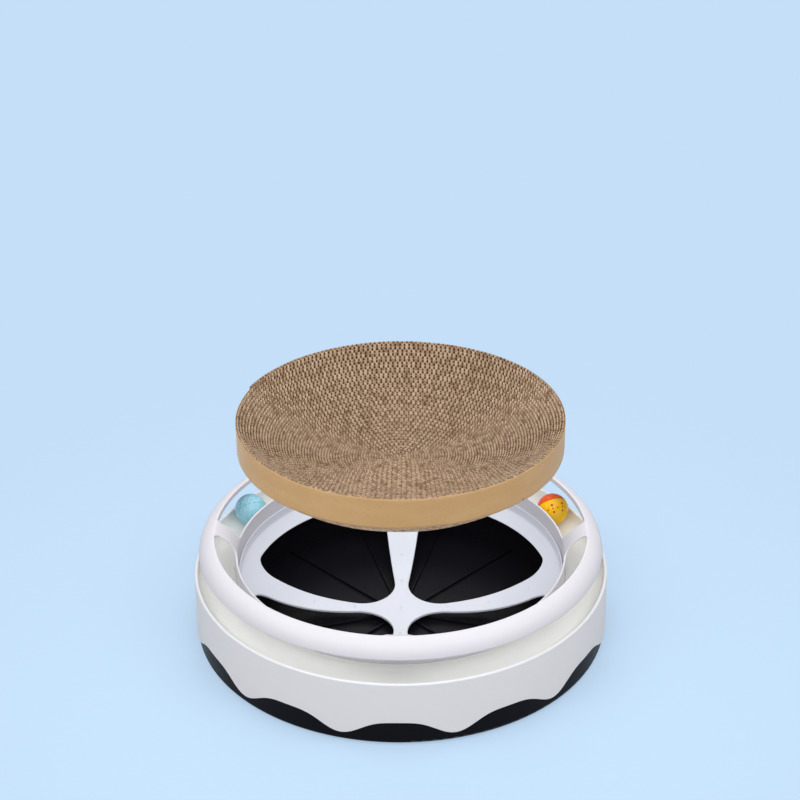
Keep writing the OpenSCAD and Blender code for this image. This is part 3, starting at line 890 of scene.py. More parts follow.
@dataclass
class Hood:
    """The glossy arch over the track, with four windows between posts along its inner shoulder."""

    thick: float = 2.8
    arch_c: float = 219.6
    arch_z: float = 108.5
    arch_r: float = 23.05
    lip_rise: float = 3.4
    inner_r: float = 196.55
    foot_z: float = 67.55
    ring_z: float = 101.9
    crease_r: float = 224.0
    post_rise: float = 4.5
    soft: float = 1.5
    window_r: float = 222.5
    turned_lip: float = 6.5
    fold_r: float = 1.1
    fold_near: float = 0.05
    fold_far: float = 2.25
    posts: int = 4
    post_turn: float = -1.0
    post_w: float = 28.0
    arch_fillet: float = 6.0
    ring_fillet: float = 12.0
    edge: float = 1.2
    columns: int = 360
    run_points: int = 801
    run_step: int = 16
    clear: float = 1.1
    finish: MouldedPlastic = MouldedPlastic(
        "hood_plastic", srgb(229, 227, 234), roughness=0.34, coat=0.06, mottling=0.02, grain=420.0,
        depth=0.00002, shine=0.15,
    )
    path: np.ndarray = field(init=False)
    run: np.ndarray = field(init=False)

    def __post_init__(self) -> None:
        """Draws the section's outer side, from the lip over the crease to the foot, with soft corners."""
        lean = math.degrees(math.asin(self.lip_rise / (self.arch_r - self.thick / 2)))
        top = math.acos((self.crease_r - self.arch_c) / self.arch_r)
        crease = np.array([self.crease_r, self.arch_z + self.arch_r * math.sin(top)])
        ring = np.array([self.inner_r, self.ring_z])
        chord = crease - ring
        long = float(np.linalg.norm(chord))
        bend = long * long / (8 * self.post_rise) + self.post_rise / 2
        aside = np.array([chord[1], -chord[0]])
        centre = (crease + ring) / 2 + (bend - self.post_rise) * aside / long
        start, end = (math.degrees(math.atan2(*(point - centre)[::-1])) for point in (crease, ring))
        rough = np.concatenate([
            arc((self.arch_c, self.arch_z), self.arch_r, lean, math.degrees(top), 80),
            arc(centre, bend, start, end, 80)[1:], [[self.inner_r, self.foot_z]],
        ])
        measure = lengths(rough)
        self.run = np.linspace(0.0, measure[-1], self.run_points)
        reach = int(self.soft / self.run[1])
        even = pairs(*(np.interp(self.run, measure, part) for part in rough.T))
        before, after = 2 * even[0] - even[reach:0:-1], 2 * even[-1] - even[-2:-reach - 2:-1]
        padded = np.concatenate([before, even, after])
        share = np.full(2 * reach + 1, 1 / (2 * reach + 1))
        self.path = pairs(*(np.convolve(part, share, "valid") for part in padded.T))

    def section(self, s: Any) -> tuple[np.ndarray, np.ndarray, np.ndarray, np.ndarray]:
        """Follows the section from the lip.

        Args:
            s: Distances along it.

        Returns:
            Radius, height, and the normal's two parts.
        """
        ahead = unit(np.gradient(self.path, axis=0))
        parts = (self.path[:, 0], self.path[:, 1], ahead[:, 1], -ahead[:, 0])
        return tuple(np.interp(s, self.run, part) for part in parts)

    def at_radius(self, r: float) -> float:
        """Distance along the section at a radius outside the ring."""
        return float(np.interp(-r, -self.path[:, 0], self.run))

    def at_height(self, z: float) -> float:
        """Distance along the section at a height on its inner side."""
        top = int(np.argmax(self.path[:, 1]))
        return float(np.interp(-z, -self.path[top:, 1], self.run[top:]))

    def surface(self, flat: np.ndarray) -> tuple[np.ndarray, np.ndarray, np.ndarray]:
        """Rolls the section's plane round the axis.

        Args:
            flat: Angle times the arch's radius, and distance along the section.

        Returns:
            Points, normals and thickness.
        """
        a = flat[:, 0] / self.arch_c
        r, z, nr, nz = self.section(flat[:, 1])
        return polar(r, a, z), polar(nr, a, nz), np.full(len(flat), self.thick)

    def post_side(self) -> np.ndarray:
        """Draws the edge of a window along one side of a post, from the arch to the ring.

        Returns:
            Angle from the post, in radians, and distance along the section.
        """
        half = self.post_w / 2 - self.edge
        reach = self.post_w / 2 + self.arch_fillet
        foot = math.sqrt((self.window_r - self.arch_fillet) ** 2 - reach ** 2)
        start = math.degrees(math.atan2(reach, foot))
        path = []
        for x, y in arc((foot, reach), self.arch_fillet + self.edge, start, -90, 12):
            path.append((math.atan2(y, x), self.at_radius(math.hypot(x, y))))
        ends = self.at_radius(math.hypot(foot, half)), self.at_height(self.ring_z + self.ring_fillet)
        for s in np.linspace(*ends, 12)[1:-1]:
            path.append((math.asin(half / float(self.section(s)[0])), float(s)))
        centre = (self.post_w / 2 + self.ring_fillet, self.ring_z + self.ring_fillet)
        for y, z in arc(centre, self.ring_fillet + self.edge, 180, 270, 14):
            s = self.at_height(z)
            path.append((math.asin(y / float(self.section(s)[0])), s))
        return np.array(path)

    def window(self, post: int) -> np.ndarray:
        """Draws the window after a post.

        Args:
            post: The post's number.

        Returns:
            The window's outline in the section's plane.
        """
        step = TAU / self.posts
        start = math.radians(self.post_turn) + post * step
        side = self.post_side()
        far = pairs(step - side[:, 0], side[:, 1])[::-1]
        ring = np.linspace(side[-1, 0], step - side[-1, 0], 60)[1:-1]
        arch = np.linspace(step - side[0, 0], side[0, 0], 60)[1:-1]
        path = np.concatenate([side, pairs(ring, side[-1, 1]), far, pairs(arch, side[0, 1])])
        return pairs((path[:, 0] + start) * self.arch_c, path[:, 1])

    def build(self) -> bpy.types.Object:
        """Makes the hood.

        Returns:
            The piece.
        """
        start = math.radians(self.post_turn) * self.arch_c
        end = start + TAU * self.arch_c
        across = np.linspace(start, end, self.columns + 1)
        along = self.run[::self.run_step]
        frame_line = np.concatenate([
            pairs(across[:-1], 0.0), pairs(end, along[:-1]),
            pairs(across[:0:-1], along[-1]), pairs(start, along[:0:-1]),
        ])
        u, v = np.meshgrid(across[1:-1], along[1:-1])
        draft = Draft()
        outlines = [frame_line] + [self.window(post) for post in range(self.posts)]
        Shell(self.surface, self.edge).mesh(draft, outlines, pairs(u.ravel(), v.ravel()), self.clear)
        top = float(self.section(self.at_radius(self.window_r + self.edge))[1])
        low, near = top - self.turned_lip + self.fold_r, self.window_r + self.fold_near
        fold = np.concatenate([
            arc((near + self.fold_r, low), self.fold_r, 180, 360, 12),
            [[self.window_r + self.fold_far, top - 1.6], [near + 0.4, top - 1.2], [near, top - 1.8]],
        ])
        draft.lathe(fold, self.columns)
        piece = draft.build("track_arch", self.finish.material())
        return settle(piece, "base", ["track_hood"])


@dataclass
class SpiderTray:
    """The dished tray that spins: four flared spokes between rounded openings, with barbs on them."""

    dish_z: float = 15.0
    depth: float = 56.0
    power: float = 3.2
    core_r: float = 193.75
    wall_r: float = 194.25
    rim_z: float = 83.0
    bowl_t: float = 3.4
    wall_t: float = 1.8
    corner: float = 4.0
    edge: float = 0.85
    turn: float = -1.0
    waist_r: float = 56.0
    spoke_half: float = 8.75
    flare: float = 7.4
    hole_r: float = 180.0
    hole_corner: float = 20.0
    hub_r: float = 27.0
    hub_z: float = 10.7
    spindle_r: float = 5.0
    spindle_z: float = 4.7
    barb_h: float = 3.0
    barb_soft: float = 1.2
    barb_w: float = 3.8
    barb_t: float = 1.2
    barbs: tuple[float, ...] = (57.0, 106.5, 156.0)
    spokes: int = 4
    columns: int = 480
    bowl_rows: int = 160
    fine_r: float = 184.0
    spacing: float = 4.2
    clear: float = 1.3
    lean_r: float = 192.9
    thinning: float = 4.0
    finish: MouldedPlastic = MouldedPlastic(
        "tray_plastic", srgb(217, 221, 231), roughness=0.36, coat=0.1, mottling=0.02, depth=0.00002
    )
    path: np.ndarray = field(init=False)
    run: np.ndarray = field(init=False)

    def __post_init__(self) -> None:
        """Draws the section of the tray's upper side and measures along it."""
        foot = self.wall_r - self.corner
        for _ in range(20):
            lean = math.atan(self.slope(foot))
            foot = self.wall_r - self.corner + self.corner * math.sin(lean)
        height = self.dish_z + self.height(foot) + self.corner * math.cos(lean)
        r = np.linspace(0.0, foot, self.bowl_rows)
        bowl = pairs(r, self.dish_z + self.height(r))
        bend = arc((self.wall_r - self.corner, height), self.corner, math.degrees(lean) - 90, 0, 10)
        wall = pairs(self.wall_r, np.linspace(height, self.rim_z - self.edge, 9))
        self.path = np.concatenate([bowl, bend[1:], wall[1:]])
        self.run = lengths(self.path)

    def height(self, r: Any) -> Any:
        """Height of the bowl over its lowest point."""
        return self.depth * (r / self.core_r) ** self.power

    def slope(self, r: float) -> float:
        """Slope of the bowl."""
        return self.depth * self.power / self.core_r * (r / self.core_r) ** (self.power - 1)

    def surface(self, flat: np.ndarray) -> tuple[np.ndarray, np.ndarray, np.ndarray]:
        """Turns a flat disc up into the dish.

        Args:
            flat: Points of the disc, whose distance from the middle is measured along the section.

        Returns:
            Points, normals and thickness.
        """
        q = np.linalg.norm(flat, axis=1)
        r, z = (np.interp(q, self.run, part) for part in self.path.T)
        leans = np.unwrap(np.arctan2(*np.gradient(self.path, self.run, axis=0).T[::-1]))
        lean = np.interp(q, self.run, leans)
        way = np.where(q[:, None] > 1e-9, flat / np.maximum(q, 1e-9)[:, None], [[1.0, 0.0]])
        points = np.concatenate([way * r[:, None], z[:, None]], axis=1)
        normals = np.concatenate([-way * np.sin(lean)[:, None], np.cos(lean)[:, None]], axis=1)
        foot = self.run[self.bowl_rows - 1]
        foot_t = self.bowl_t * math.cos(math.atan(self.slope(self.lean_r)))
        thinned = np.interp(q, [foot, foot + self.thinning], [foot_t, self.wall_t])
        return points, normals, np.where(q < foot, self.bowl_t * np.cos(lean), thinned)

    def opening(self) -> np.ndarray:
        """Draws the opening between the spokes along X and Y, grown by the edges' radius.

        Returns:
            Its outline on the plan.
        """
        lean = math.radians(self.flare)
        slope = math.tan(lean)
        apex = (self.spoke_half - self.waist_r * slope) / (1 - slope)
        reach = (self.waist_r - apex) / math.cos(lean)
        half = math.pi / 4 - lean
        inner_r = reach * math.tan(half) + self.edge
        inner_c = apex * math.sqrt(2) + reach / math.cos(half)
        corner_c = self.hole_r - self.hole_corner
        aside = apex * (math.cos(lean) - math.sin(lean))
        corner_a = lean + math.asin((self.hole_corner + aside) / corner_c)
        corner = (corner_c * math.cos(corner_a), corner_c * math.sin(corner_a))
        middle = (inner_c * math.sqrt(0.5), inner_c * math.sqrt(0.5))
        grown = self.hole_corner + self.edge
        end = math.degrees(corner_a)
        inner = arc(middle, inner_r, 225, self.flare + 270, 16)
        outer = arc(corner, grown, self.flare - 90, end, 14)
        side = np.linspace(inner[-1], outer[0], 26)[1:-1]
        rim = arc((0, 0), self.hole_r + self.edge, end, 45, 22)
        lower = np.concatenate([inner, side, outer, rim[1:]])
        upper = lower[-2:0:-1, ::-1]
        return np.concatenate([lower, upper])

    def spun(self, plan: np.ndarray, turn: float) -> np.ndarray:
        """Turns a plan outline and lays it out along the section.

        Args:
            plan: Points on the plan.
            turn: Angle, in degrees.

        Returns:
            Points of the flat disc.
        """
        a = math.radians(turn)
        turned = plan @ np.array([[math.cos(a), math.sin(a)], [-math.sin(a), math.cos(a)]])
        r = np.linalg.norm(turned, axis=1)
        bowl = slice(self.bowl_rows)
        return turned * (np.interp(r, self.path[bowl, 0], self.run[bowl]) / r)[:, None]

    def add_barb(self, draft: Draft, r: float, turn: float) -> None:
        """Adds one barb.

        Args:
            draft: What it is added to.
            r: Its distance from the centre.
            turn: Its spoke's angle, in degrees.
        """
        half_w, half_t = self.barb_w / 2, self.barb_t / 2
        foot = self.dish_z + self.height(max(0.0, r - half_t))
        levels = ((half_w, half_t, -1.0), (half_w, half_t, 0.15), (0.3, 0.25, self.barb_h))
        signs = ((1, 1), (-1, 1), (-1, -1), (1, -1))
        ring = [(i * wide, j * deep, z) for wide, deep, z in levels for i, j in signs]
        sides = [(k + n, (k + 1) % 4 + n, (k + 1) % 4 + n + 4, k + n + 4) for n in (0, 4) for k in range(4)]
        spoke = Matrix.Rotation(math.radians(turn), 3, "Z")
        points = np.array([tuple(spoke @ Vector((r + y, -x, foot + z))) for x, y, z in ring])
        for face in sides + [(8, 9, 10, 11)]:
            own = points[list(face)]
            facing = unit(np.cross(own[1] - own[0], own[2] - own[0])[None])
            facing = unit(facing + np.array([[0.0, 0.0, self.barb_soft]]))
            draft.add(own, np.repeat(facing, 4, axis=0), np.array([[0, 1, 2, 3]]))

    def build(self) -> bpy.types.Object:
        """Makes the tray.

        Returns:
            The piece.
        """
        length = float(self.run[-1])
        turns = [self.turn + 360.0 / self.spokes * k for k in range(self.spokes)]
        opening = self.opening()
        outlines = [length * circle(self.columns)] + [self.spun(opening, turn) for turn in turns]
        rings = np.concatenate([np.arange(4.0, 176.0, 4.0), np.arange(180.0, length - 0.6, 1.7)])
        rows = [[[0.0, 0.0]]]
        for n, q in enumerate(rings):
            count = self.columns if q > self.fine_r else max(8, round(TAU * q / self.spacing))
            rows.append(q * circle(count, 0.5 * (n % 2)))
        draft = Draft()
        Shell(self.surface, self.edge).mesh(draft, outlines, np.concatenate(rows), self.clear)
        under = self.dish_z - self.bowl_t + 0.6
        hub = np.concatenate([
            [[0.0, self.spindle_z]], arc((self.spindle_r - 0.5, self.spindle_z + 0.5), 0.5, -90, 0, 4),
            [[self.spindle_r, self.hub_z]], arc((self.hub_r - 0.8, self.hub_z + 0.8), 0.8, -90, 0, 5),
            [[self.hub_r, under]],
        ])
        draft.lathe(hub, 96, False)
        for turn in turns:
            for r in self.barbs:
                self.add_barb(draft, r, turn)
        self.add_barb(draft, 0.0, self.turn)
        piece = draft.build("spider_tray", self.finish.material())
        return settle(piece, "turntable", ["turntable_tray"])


@dataclass
class CardCore:
    """The wound bowl of corrugated card, as one long strip with its flutes, and its kraft outside."""

    outer_r: float = 193.75
    inner_r: float = 2.6
    pitch: float = 3.24
    strip_h: float = 37.5
    band_z: float = 248.8
    depth: float = 56.0
    power: float = 3.2
    liner_t: float = 0.4
    liner_sink: float = 1.5
    flute_t: float = 0.72
    flute_foot: float = 0.6
    flute_gap: float = 0.05
    wave_points: int = 8
    turn_points: int = 150
    fill_half: float = 0.4
    # how deep the sheet in the cells is marked, which sets its painted shade
    fill_shade_depth: float = 0.6
    fill_rows: int = 48
    fill_columns: int = 240
    end_turn: float = 158.0
    wrap_t: float = 0.7
    wrap_sink: float = 0.9
    wrap_columns: int = 540
    wrap_rows: int = 14
    dents: tuple[tuple[float, ...], ...] = (
        (44.9, 0.0, 1.1, 1.3), (-35.6, 0.08, 0.9, 1.1), (12.0, 0.0, 0.5, 2.4),
    )
    card: CutCard = CutCard()
    kraft: KraftPaper = KraftPaper()

    @property
    def flute(self) -> float:
        """Length of a flute along the strip, which sets each turn's flutes between those of the last."""
        return TAU * self.pitch / 3.5

    @property
    def turns(self) -> float:
        """Number of turns before the last, which is the smooth outside."""
        return (self.outer_r - self.wrap_t / 2 - self.pitch - self.inner_r) / self.pitch

    def bowl(self, r: np.ndarray) -> np.ndarray:
        """Height of the bowl's underside at a radius."""
        return self.band_z - self.depth * (1 - np.minimum(r / self.outer_r, 1.0) ** self.power)

    def lie(self, angle: np.ndarray, r: np.ndarray) -> np.ndarray:
        """How far a turn bulges in or out of a true spiral.

        Args:
            angle: Angle round the axis, in radians.
            r: Radius of the turn.

        Returns:
            The bulge, which fades at the outside.
        """
        wave = 0.55 * np.sin(3 * angle + r / 19) + 0.3 * np.sin(7 * angle - r / 11)
        wave = wave + 0.25 * np.sin(2 * angle - r / 31)
        return wave * np.clip((self.outer_r - 6.0 - r) / 60.0, 0.0, 1.0) * np.clip(r / 30.0, 0.2, 1.0)

    def shift(self, angle: np.ndarray, turn: np.ndarray) -> np.ndarray:
        """How far a turn stands up or down beside its neighbours.

        Args:
            angle: Angle round the axis, in radians.
            turn: Turns from the middle.

        Returns:
            The shift.
        """
        whole = np.floor(turn)
        part = turn - whole
        scattered = [np.sin((whole + k) * 12.9898) * 43758.5453 for k in (0, 1)]
        first, second = (number - np.floor(number) for number in scattered)
        drift = first * (1 - part) + second * part - 0.5
        return 0.9 * drift + 0.2 * np.sin(5 * angle + 3 * turn)

    def ribbon(
        self, name: str, finish: bpy.types.Material, angle: np.ndarray, r: np.ndarray, base_r: np.ndarray,
        depth: np.ndarray, thick: float, foot: float, head: float,
    ) -> bpy.types.Object:
        """Makes a standing ribbon of card.

        Args:
            name: The piece's name.
            finish: Its material.
            angle: Angle of each place along it, in radians.
            r: Radius of its middle at each place.
            base_r: Radius of the turn that sets its height.
            depth: How deep in its flute each place lies, from 0 to 1, which sets its painted shade.
            thick: Its thickness.
            foot: How far its lower edge stays above that of the strip.
            head: How far its upper edge stays below that of the strip.

        Returns:
            The piece.
        """
        bulge = self.lie(angle, base_r)
        turn = (base_r - self.inner_r) / self.pitch
        low = self.bowl(base_r + self.wrap_t / 2 + self.pitch) + self.shift(angle, turn)
        low = np.minimum(low, self.band_z)
        turning = angle + math.radians(self.end_turn)
        top = self.strip_h - head
        sides = ((1, foot), (1, top), (-1, top), (-1, foot))
        points = np.stack([polar(r + bulge + half * thick / 2, turning, low + z) for half, z in sides])
        draft = Draft()
        draft.grid(points, np.zeros_like(points), False, True)
        for end, corners in ((0, [0, 1, 2, 3]), (-1, [3, 2, 1, 0])):
            draft.add(points[:, end], np.zeros((4, 3)), np.array([corners]))
        piece = draft.build(name, finish, False, False)
        ends = np.full(draft.count - points[..., 0].size, self.strip_h)
        drop = np.concatenate([np.repeat([self.strip_h, 0.0, 0.0, self.strip_h], len(angle)), ends])
        return self.marked(piece, np.concatenate([np.tile(depth, 4), np.zeros_like(ends)]), drop)

    def marked(self, piece: bpy.types.Object, depth: np.ndarray, drop: np.ndarray) -> bpy.types.Object:
        """Marks each point of a piece of the strip for its finish's painted shade, and settles the piece.

        Args:
            piece: The piece.
            depth: How deep in its flute each point lies, from 0 to 1.
            drop: How far below the upper edge each point lies.

        Returns:
            The piece.
        """
        for mark, values in ((FLUTE_DEPTH, depth), (EDGE_DROP, drop)):
            piece.data.attributes.new(mark, "FLOAT", "POINT").data.foreach_set("value", values)
        return settle(piece, "core", ["core_winding"])

    def fill(self, finish: bpy.types.Material) -> bpy.types.Object:
        """Makes the dark sheet halfway down the cells, painted shade that keeps what is below from showing
        through them.

        Args:
            finish: Its material.

        Returns:
            The piece.
        """
        r = np.linspace(0.0, self.outer_r - self.pitch - 2 * self.wrap_t, self.fill_rows)
        middle = self.bowl(r + self.pitch) + self.strip_h / 2
        under, over = pairs(r, middle - self.fill_half), pairs(r, middle + self.fill_half)
        draft = Draft()
        draft.lathe(np.concatenate([under, over[::-1]]), self.fill_columns)
        piece = draft.build("card_shade_sheet", finish)
        count = len(piece.data.vertices)
        # the sheet is marked deep and far below the edge, so it takes the painted shade of the cells
        return self.marked(piece, np.full(count, self.fill_shade_depth), np.full(count, self.strip_h))

    def winding(self) -> list[bpy.types.Object]:
        """Makes the strip: its liner, and the flutes that stand on it, in two lengths.

        Returns:
            The pieces.
        """
        finish = self.card.material()
        gain = self.pitch / TAU
        full = TAU * (self.turns + 1)
        angle = np.linspace(-full, -TAU, int(self.turn_points * self.turns))
        r = self.inner_r + gain * (angle + full)
        # the liner is marked halfway deep, which gives it a trace of painted shade
        level = np.full(len(angle), 0.5)
        pieces = [self.ribbon("card_liner", finish, angle, r, r, level, self.liner_t, 0.0, self.liner_sink)]
        length = self.inner_r * full + gain * full * full / 2
        s = np.arange(0.0, length, self.flute / self.wave_points)
        swept = (np.sqrt(self.inner_r ** 2 + 2 * gain * s) - self.inner_r) / gain
        base_r = self.inner_r + gain * swept
        swing = (self.pitch - self.liner_t - self.flute_t) / 2 - self.flute_gap
        wave = np.sin(TAU * s / self.flute + 0.5)
        r = base_r - self.pitch / 2 + swing * wave
        half = len(s) // 2
        parts = {"card_flutes_inner": slice(0, half + 1), "card_flutes_outer": slice(half, None)}
        for name, part in parts.items():
            # the flute's wave sets how deep each place lies, and so its painted shade
            places = swept[part] - full, r[part], base_r[part], 0.5 + 0.5 * wave[part]
            pieces.append(self.ribbon(name, finish, *places, self.flute_t, self.flute_foot, 0.0))
        return [*pieces, self.fill(finish)]

    def wrap(self) -> bpy.types.Object:
        """Makes the strip's last, smooth turn, which steps where it ends.

        Returns:
            The piece.
        """
        columns, rows = self.wrap_columns, self.wrap_rows
        angle = np.linspace(-TAU - 0.02, 0.0, columns)
        r = self.outer_r - self.wrap_t / 2 + self.pitch * angle / TAU
        share = np.linspace(0.0, 1.0, rows)
        turning = angle + math.radians(self.end_turn)
        front = (turning + math.pi / 2 + math.pi) % TAU - math.pi
        ripple = 0.12 * np.sin(23 * angle) + 0.1 * np.sin(11 * angle + 1)
        points, facing = [], []
        for half, order in ((1, share), (-1, share[::-1])):
            for n, up in enumerate(order):
                dent = np.zeros(columns)
                for place, height, deep, wide in self.dents:
                    near = (np.degrees(front) - place) / wide
                    dent += deep * np.exp(-near ** 2 - ((up - height) / 0.16) ** 2)
                rounding = 0.12 if n in (0, rows - 1) else 0.0
                far = r - dent + half * (self.wrap_t / 2 - rounding)
                z = self.band_z + (self.strip_h - self.wrap_sink) * up + ripple * (2 * up - 1)
                points.append(polar(far, turning, z))
                lean = (0.0 if 0 < n < rows - 1 else 0.7) * (1 if up > 0.5 else -1)
                facing.append(unit(polar(half, turning, lean)))
        draft = Draft()
        grid = np.stack(points)
        draft.grid(grid, np.stack(facing), False, True)
        for column, order in ((0, slice(None)), (columns - 1, slice(None, None, -1))):
            end = grid[:, column][order]
            strips = np.array([[k + 1, k, 2 * rows - 1 - k, 2 * rows - 2 - k] for k in range(rows - 1)])
            way = unit(np.cross(end[1] - end[0], end[2 * rows - 2] - end[0])[None])
            draft.add(end, np.repeat(way, 2 * rows, axis=0), strips)
        piece = draft.build("card_wrap", self.kraft.material(), True, False)
        return settle(piece, "core", ["core_wrap"])

    def build(self) -> list[bpy.types.Object]:
        """Makes the pieces of the winding and its outside."""
        return [*self.winding(), self.wrap()]


@dataclass
class TrackBall:
    """A hollow ball of two shells with a bell in it."""

    name: str
    turn: float
    seam: float
    upper: BallPlastic
    lower: BallPlastic
    upper_slot: str
    lower_slot: str
    nodes: tuple[str, str, str]
    radius: float = 20.0
    thick: float = 1.8
    track_r: float = 222.1
    centre_z: float = 87.8
    lean: float = 55.0
    lean_turn: float = 109.0
    bell_r: float = 5.5
    bell_seam: float = 0.4
    bell_gap: float = 0.3
    seam_gap: float = 0.12
    columns: int = 72
    bell_columns: int = 48

    @property
    def centre(self) -> Vector:
        """The ball's centre."""
        a = math.radians(self.turn)
        return Vector((self.track_r * math.sin(a), -self.track_r * math.cos(a), self.centre_z))

    def shell(self, name: str, side: int, finish: BallPlastic, node: str) -> bpy.types.Object:
        """Makes one shell.

        Args:
            name: The piece's name.
            side: 1 over the seam, -1 under it.
            finish: Its finish.
            node: The node that it replaces.

        Returns:
            The piece.
        """
        gap = self.seam * side + self.seam_gap
        rim = math.degrees(math.asin(gap / self.radius))
        inner_rim = math.degrees(math.asin((gap + 0.1) / (self.radius - self.thick)))
        lip = (self.radius - 0.3) * math.cos(math.radians(rim + 0.1))
        section = np.concatenate([
            arc((0, 0), self.radius - self.thick, 90, inner_rim, 20),
            [[lip - 0.4, gap], [lip - 0.05, gap + 0.02]],
            arc((0, 0), self.radius, rim + 1.2, 90, 28),
        ])
        section[0, 0] = section[-1, 0] = 0.0
        if side < 0:
            section = (section * [1, -1])[::-1]
        draft = Draft()
        draft.lathe(section, self.columns, False)
        piece = draft.build(name, finish.material())
        piece.location = self.centre * MM
        piece.rotation_euler = Euler((0.0, math.radians(self.lean), math.radians(self.lean_turn)))
        return settle(piece, self.name, [node])

    def bell(self) -> bpy.types.Object:
        """Makes the bell: a folded band round a small sphere, with a loop's stub on top.

        Returns:
            The piece.
        """
        r = self.bell_r - self.bell_seam
        section = np.concatenate([
            [[0.0, -r]], arc((0, 0), r, -86, -6, 14), arc((r, 0.0), self.bell_seam, -70, 70, 6),
            arc((0, 0), r, 6, 76, 12), [[1.1, r + 0.1], [0.9, r + 0.35], [0.0, r + 0.4]],
        ])
        draft = Draft()
        draft.lathe(section, self.bell_columns, False)
        brass = PlatedMetal(self.name + "_brass", (0.6, 0.45, 0.14), roughness=0.25)
        piece = draft.build(self.name + "_jingle", brass.material())
        drop = self.bell_gap + self.thick + self.bell_r - self.radius
        piece.location = (self.centre + Vector((0, 0, drop))) * MM
        return settle(piece, self.name, [self.nodes[2]])

    def build(self) -> list[bpy.types.Object]:
        """Makes both shells and the bell.

        Returns:
            The pieces.
        """
        return [
            self.shell(self.name + "_upper", 1, self.upper, self.nodes[0]),
            self.shell(self.name + "_lower", -1, self.lower, self.nodes[1]),
            self.bell(),
        ]


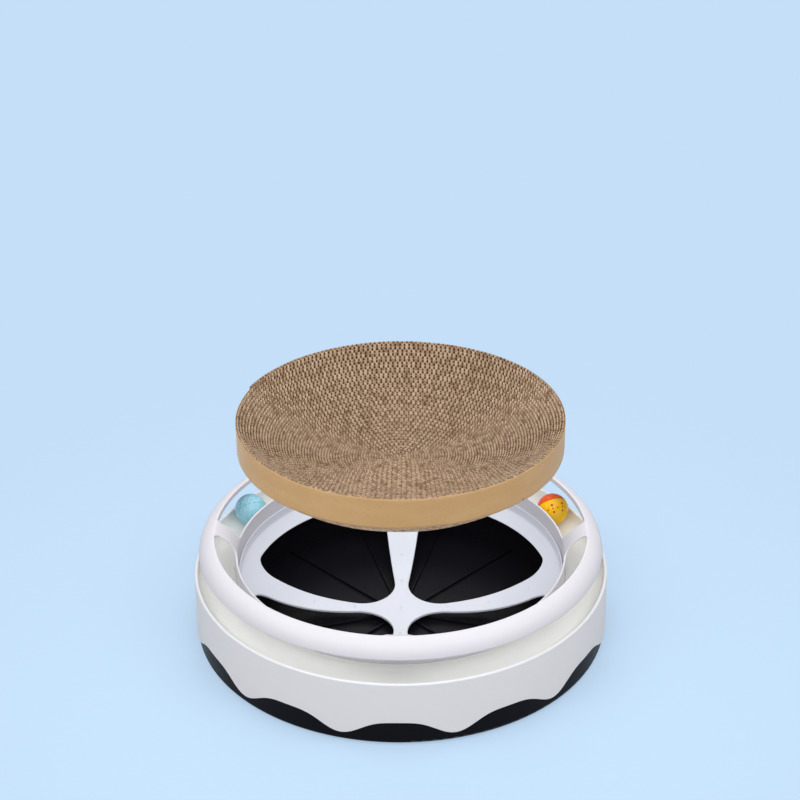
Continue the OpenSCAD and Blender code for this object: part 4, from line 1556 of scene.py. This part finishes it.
@dataclass
class Studio:
    """Floor, soft lights and the camera."""

    lifted: Sequence[bpy.types.Object]
    dish: bpy.types.Object
    paper: StudioPaper = StudioPaper()
    fill: Colour = (0.985, 0.99, 1.0)
    fill_level: float = 0.3
    ring_r: float = 2.0
    ring_z: float = 1.8
    box: float = 1.4
    aim_z: float = 0.12
    camera_at: Triple = (0.4, -1891.3, 1310.2)
    camera_tilt: float = 62.0
    camera_roll: float = -0.41
    lens: float = 83.25
    sensor: float = 36.0
    clip_end: float = 50.0

    def floor(self) -> None:
        """Lays the floor."""
        mesh = bpy.data.meshes.new("floor")
        mesh.from_pydata([(-6, -6, 0), (6, -6, 0), (6, 8, 0), (-6, 8, 0)], [], [(0, 1, 2, 3)])
        mesh.materials.append(self.paper.material())
        floor = bpy.data.objects.new("floor", mesh)
        bpy.context.scene.collection.objects.link(floor)

    def group(self, name: str, pieces: Sequence[bpy.types.Object], state: str) -> bpy.types.Collection:
        """Makes a collection that links lamps to pieces.

        Args:
            name: Its name.
            pieces: What it holds.
            state: Whether a lamp includes or excludes them.

        Returns:
            The collection.
        """
        group = bpy.data.collections.new(name)
        for piece in pieces:
            group.objects.link(piece)
        for entry in group.collection_objects:
            entry.light_linking.link_state = state
        return group

    def lamp(self, name: str, reach: Reach, at: Sequence[float], size: float, power: float) -> None:
        """Hangs a square softbox that faces the object.

        Args:
            name: Its name.
            reach: What it lights; what it passes by casts no shadow of it either.
            at: Its place, in metres.
            size: Its side, in metres.
            power: Its power, in watts.
        """
        data = bpy.data.lights.new(name, "AREA")
        data.shape, data.size, data.energy = "SQUARE", size, power
        lamp = bpy.data.objects.new(name, data)
        lamp.location = at
        aim = Vector((0.0, 0.0, self.aim_z)) - Vector(at)
        lamp.rotation_euler = aim.to_track_quat("-Z", "Y").to_euler()
        bpy.context.scene.collection.objects.link(lamp)
        linking = lamp.light_linking
        if reach is not Reach.LIFTED:
            linking.blocker_collection = self.group(name + "_passes", self.lifted, "EXCLUDE")
        if reach is Reach.BELOW:
            linking.receiver_collection = linking.blocker_collection
        else:
            lit = self.lifted if reach is Reach.LIFTED else [self.dish]
            linking.receiver_collection = self.group(name + "_lights", lit, "INCLUDE")

    def sky(self) -> None:
        """Sets a plain world of faint light, which looks like the floor where the camera sees it."""
        world = bpy.data.worlds.new("studio_world")
        bpy.context.scene.world = world
        world.use_nodes = True
        tree = world.node_tree
        tree.nodes.clear()
        mixed, out = tree.nodes.new("ShaderNodeMixShader"), tree.nodes.new("ShaderNodeOutputWorld")
        tree.links.new(tree.nodes.new("ShaderNodeLightPath").outputs["Is Camera Ray"], mixed.inputs[0])
        for socket, colour, strength in ((1, self.fill, self.fill_level), (2, self.paper.colour, 1.0)):
            part = tree.nodes.new("ShaderNodeBackground")
            part.inputs["Color"].default_value = (*colour, 1.0)
            part.inputs["Strength"].default_value = strength
            tree.links.new(part.outputs[0], mixed.inputs[socket])
        tree.links.new(mixed.outputs[0], out.inputs["Surface"])

    def camera(self) -> None:
        """Sets the camera where the photograph was taken from."""
        data = bpy.data.cameras.new("camera")
        data.lens, data.sensor_width, data.clip_end = self.lens, self.sensor, self.clip_end
        camera = bpy.data.objects.new("camera", data)
        camera.location = tuple(c * MM for c in self.camera_at)
        tilt, roll = math.radians(self.camera_tilt), math.radians(self.camera_roll)
        camera.rotation_euler = (Matrix.Rotation(tilt, 3, "X") @ Matrix.Rotation(roll, 3, "Z")).to_euler()
        bpy.context.scene.collection.objects.link(camera)
        bpy.context.scene.camera = camera

    def build(self) -> None:
        """Sets everything up, with softboxes for the base, for the lifted core and for the dish."""
        self.floor()
        self.sky()
        below, above = Reach.BELOW, Reach.LIFTED
        softboxes = (
            ("front", below, -6.0, 10.0), ("left", below, -62.0, 12.0),
            ("right", below, 62.0, 13.0), ("back", below, 180.0, 10.0),
            ("core_front", above, -10.0, 29.0), ("core_left", above, -80.0, 16.0),
            ("core_right", above, 80.0, 22.0), ("core_back", above, 180.0, 5.0),
        )
        for name, reach, turn, power in softboxes:
            a = math.radians(turn)
            at = (self.ring_r * math.sin(a), -self.ring_r * math.cos(a), self.ring_z)
            self.lamp(name + "_softbox", reach, at, self.box, power)
        for name, across in (("dish_left", -2.0), ("dish_right", 2.0)):
            self.lamp(name + "_softbox", Reach.DISH, (across, -0.4, 0.85), 1.0, 8.0)
        self.lamp("top_softbox", below, (0.0, -0.5, 2.3), 3.2, 40.0)
        self.lamp("core_top_softbox", above, (-0.3, -1.5, 2.4), 1.2, 10.0)
        self.camera()
        bpy.context.scene.view_settings.view_transform = "Standard"


def corners(box: Sequence[Vector]) -> list[list[float]]:
    """A box as plain lists of numbers."""
    return [[float(c) for c in corner] for corner in box]


def main() -> None:
    """Builds and dresses the whole object."""
    logging.basicConfig(level=logging.INFO, format="%(message)s")
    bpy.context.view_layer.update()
    Base().dress()
    TrackBody().build()
    Hood().build()
    dish = SpiderTray().build()
    lifted = CardCore().build()
    # the blue ball's white flecks are glitter with painted glints; the teal ones are specks in the plastic
    blue = BallPlastic(
        "blue_ball", srgb(158, 222, 242), Motif.FLECKS, srgb(84, 196, 196), srgb(255, 255, 252), clear=0.05
    )
    yellow = BallPlastic("yellow_ball", srgb(255, 200, 0), Motif.DOTS, srgb(214, 60, 24))
    orange = BallPlastic("orange_cap", srgb(246, 92, 30))
    TrackBall(
        "ball_1", -121.3, 0.0, blue, blue, "blue_plastic", "blue_plastic",
        ("ball_1_top", "ball_1_bottom", "ball_1_bell"),
    ).build()
    TrackBall(
        "ball_2", 119.9, 6.0, orange, yellow, "orange_plastic", "yellow_plastic",
        ("ball_2_cap", "ball_2_cup", "ball_2_bell"),
    ).build()
    Studio(lifted, dish).build()


if __name__ == "__main__":
    main()
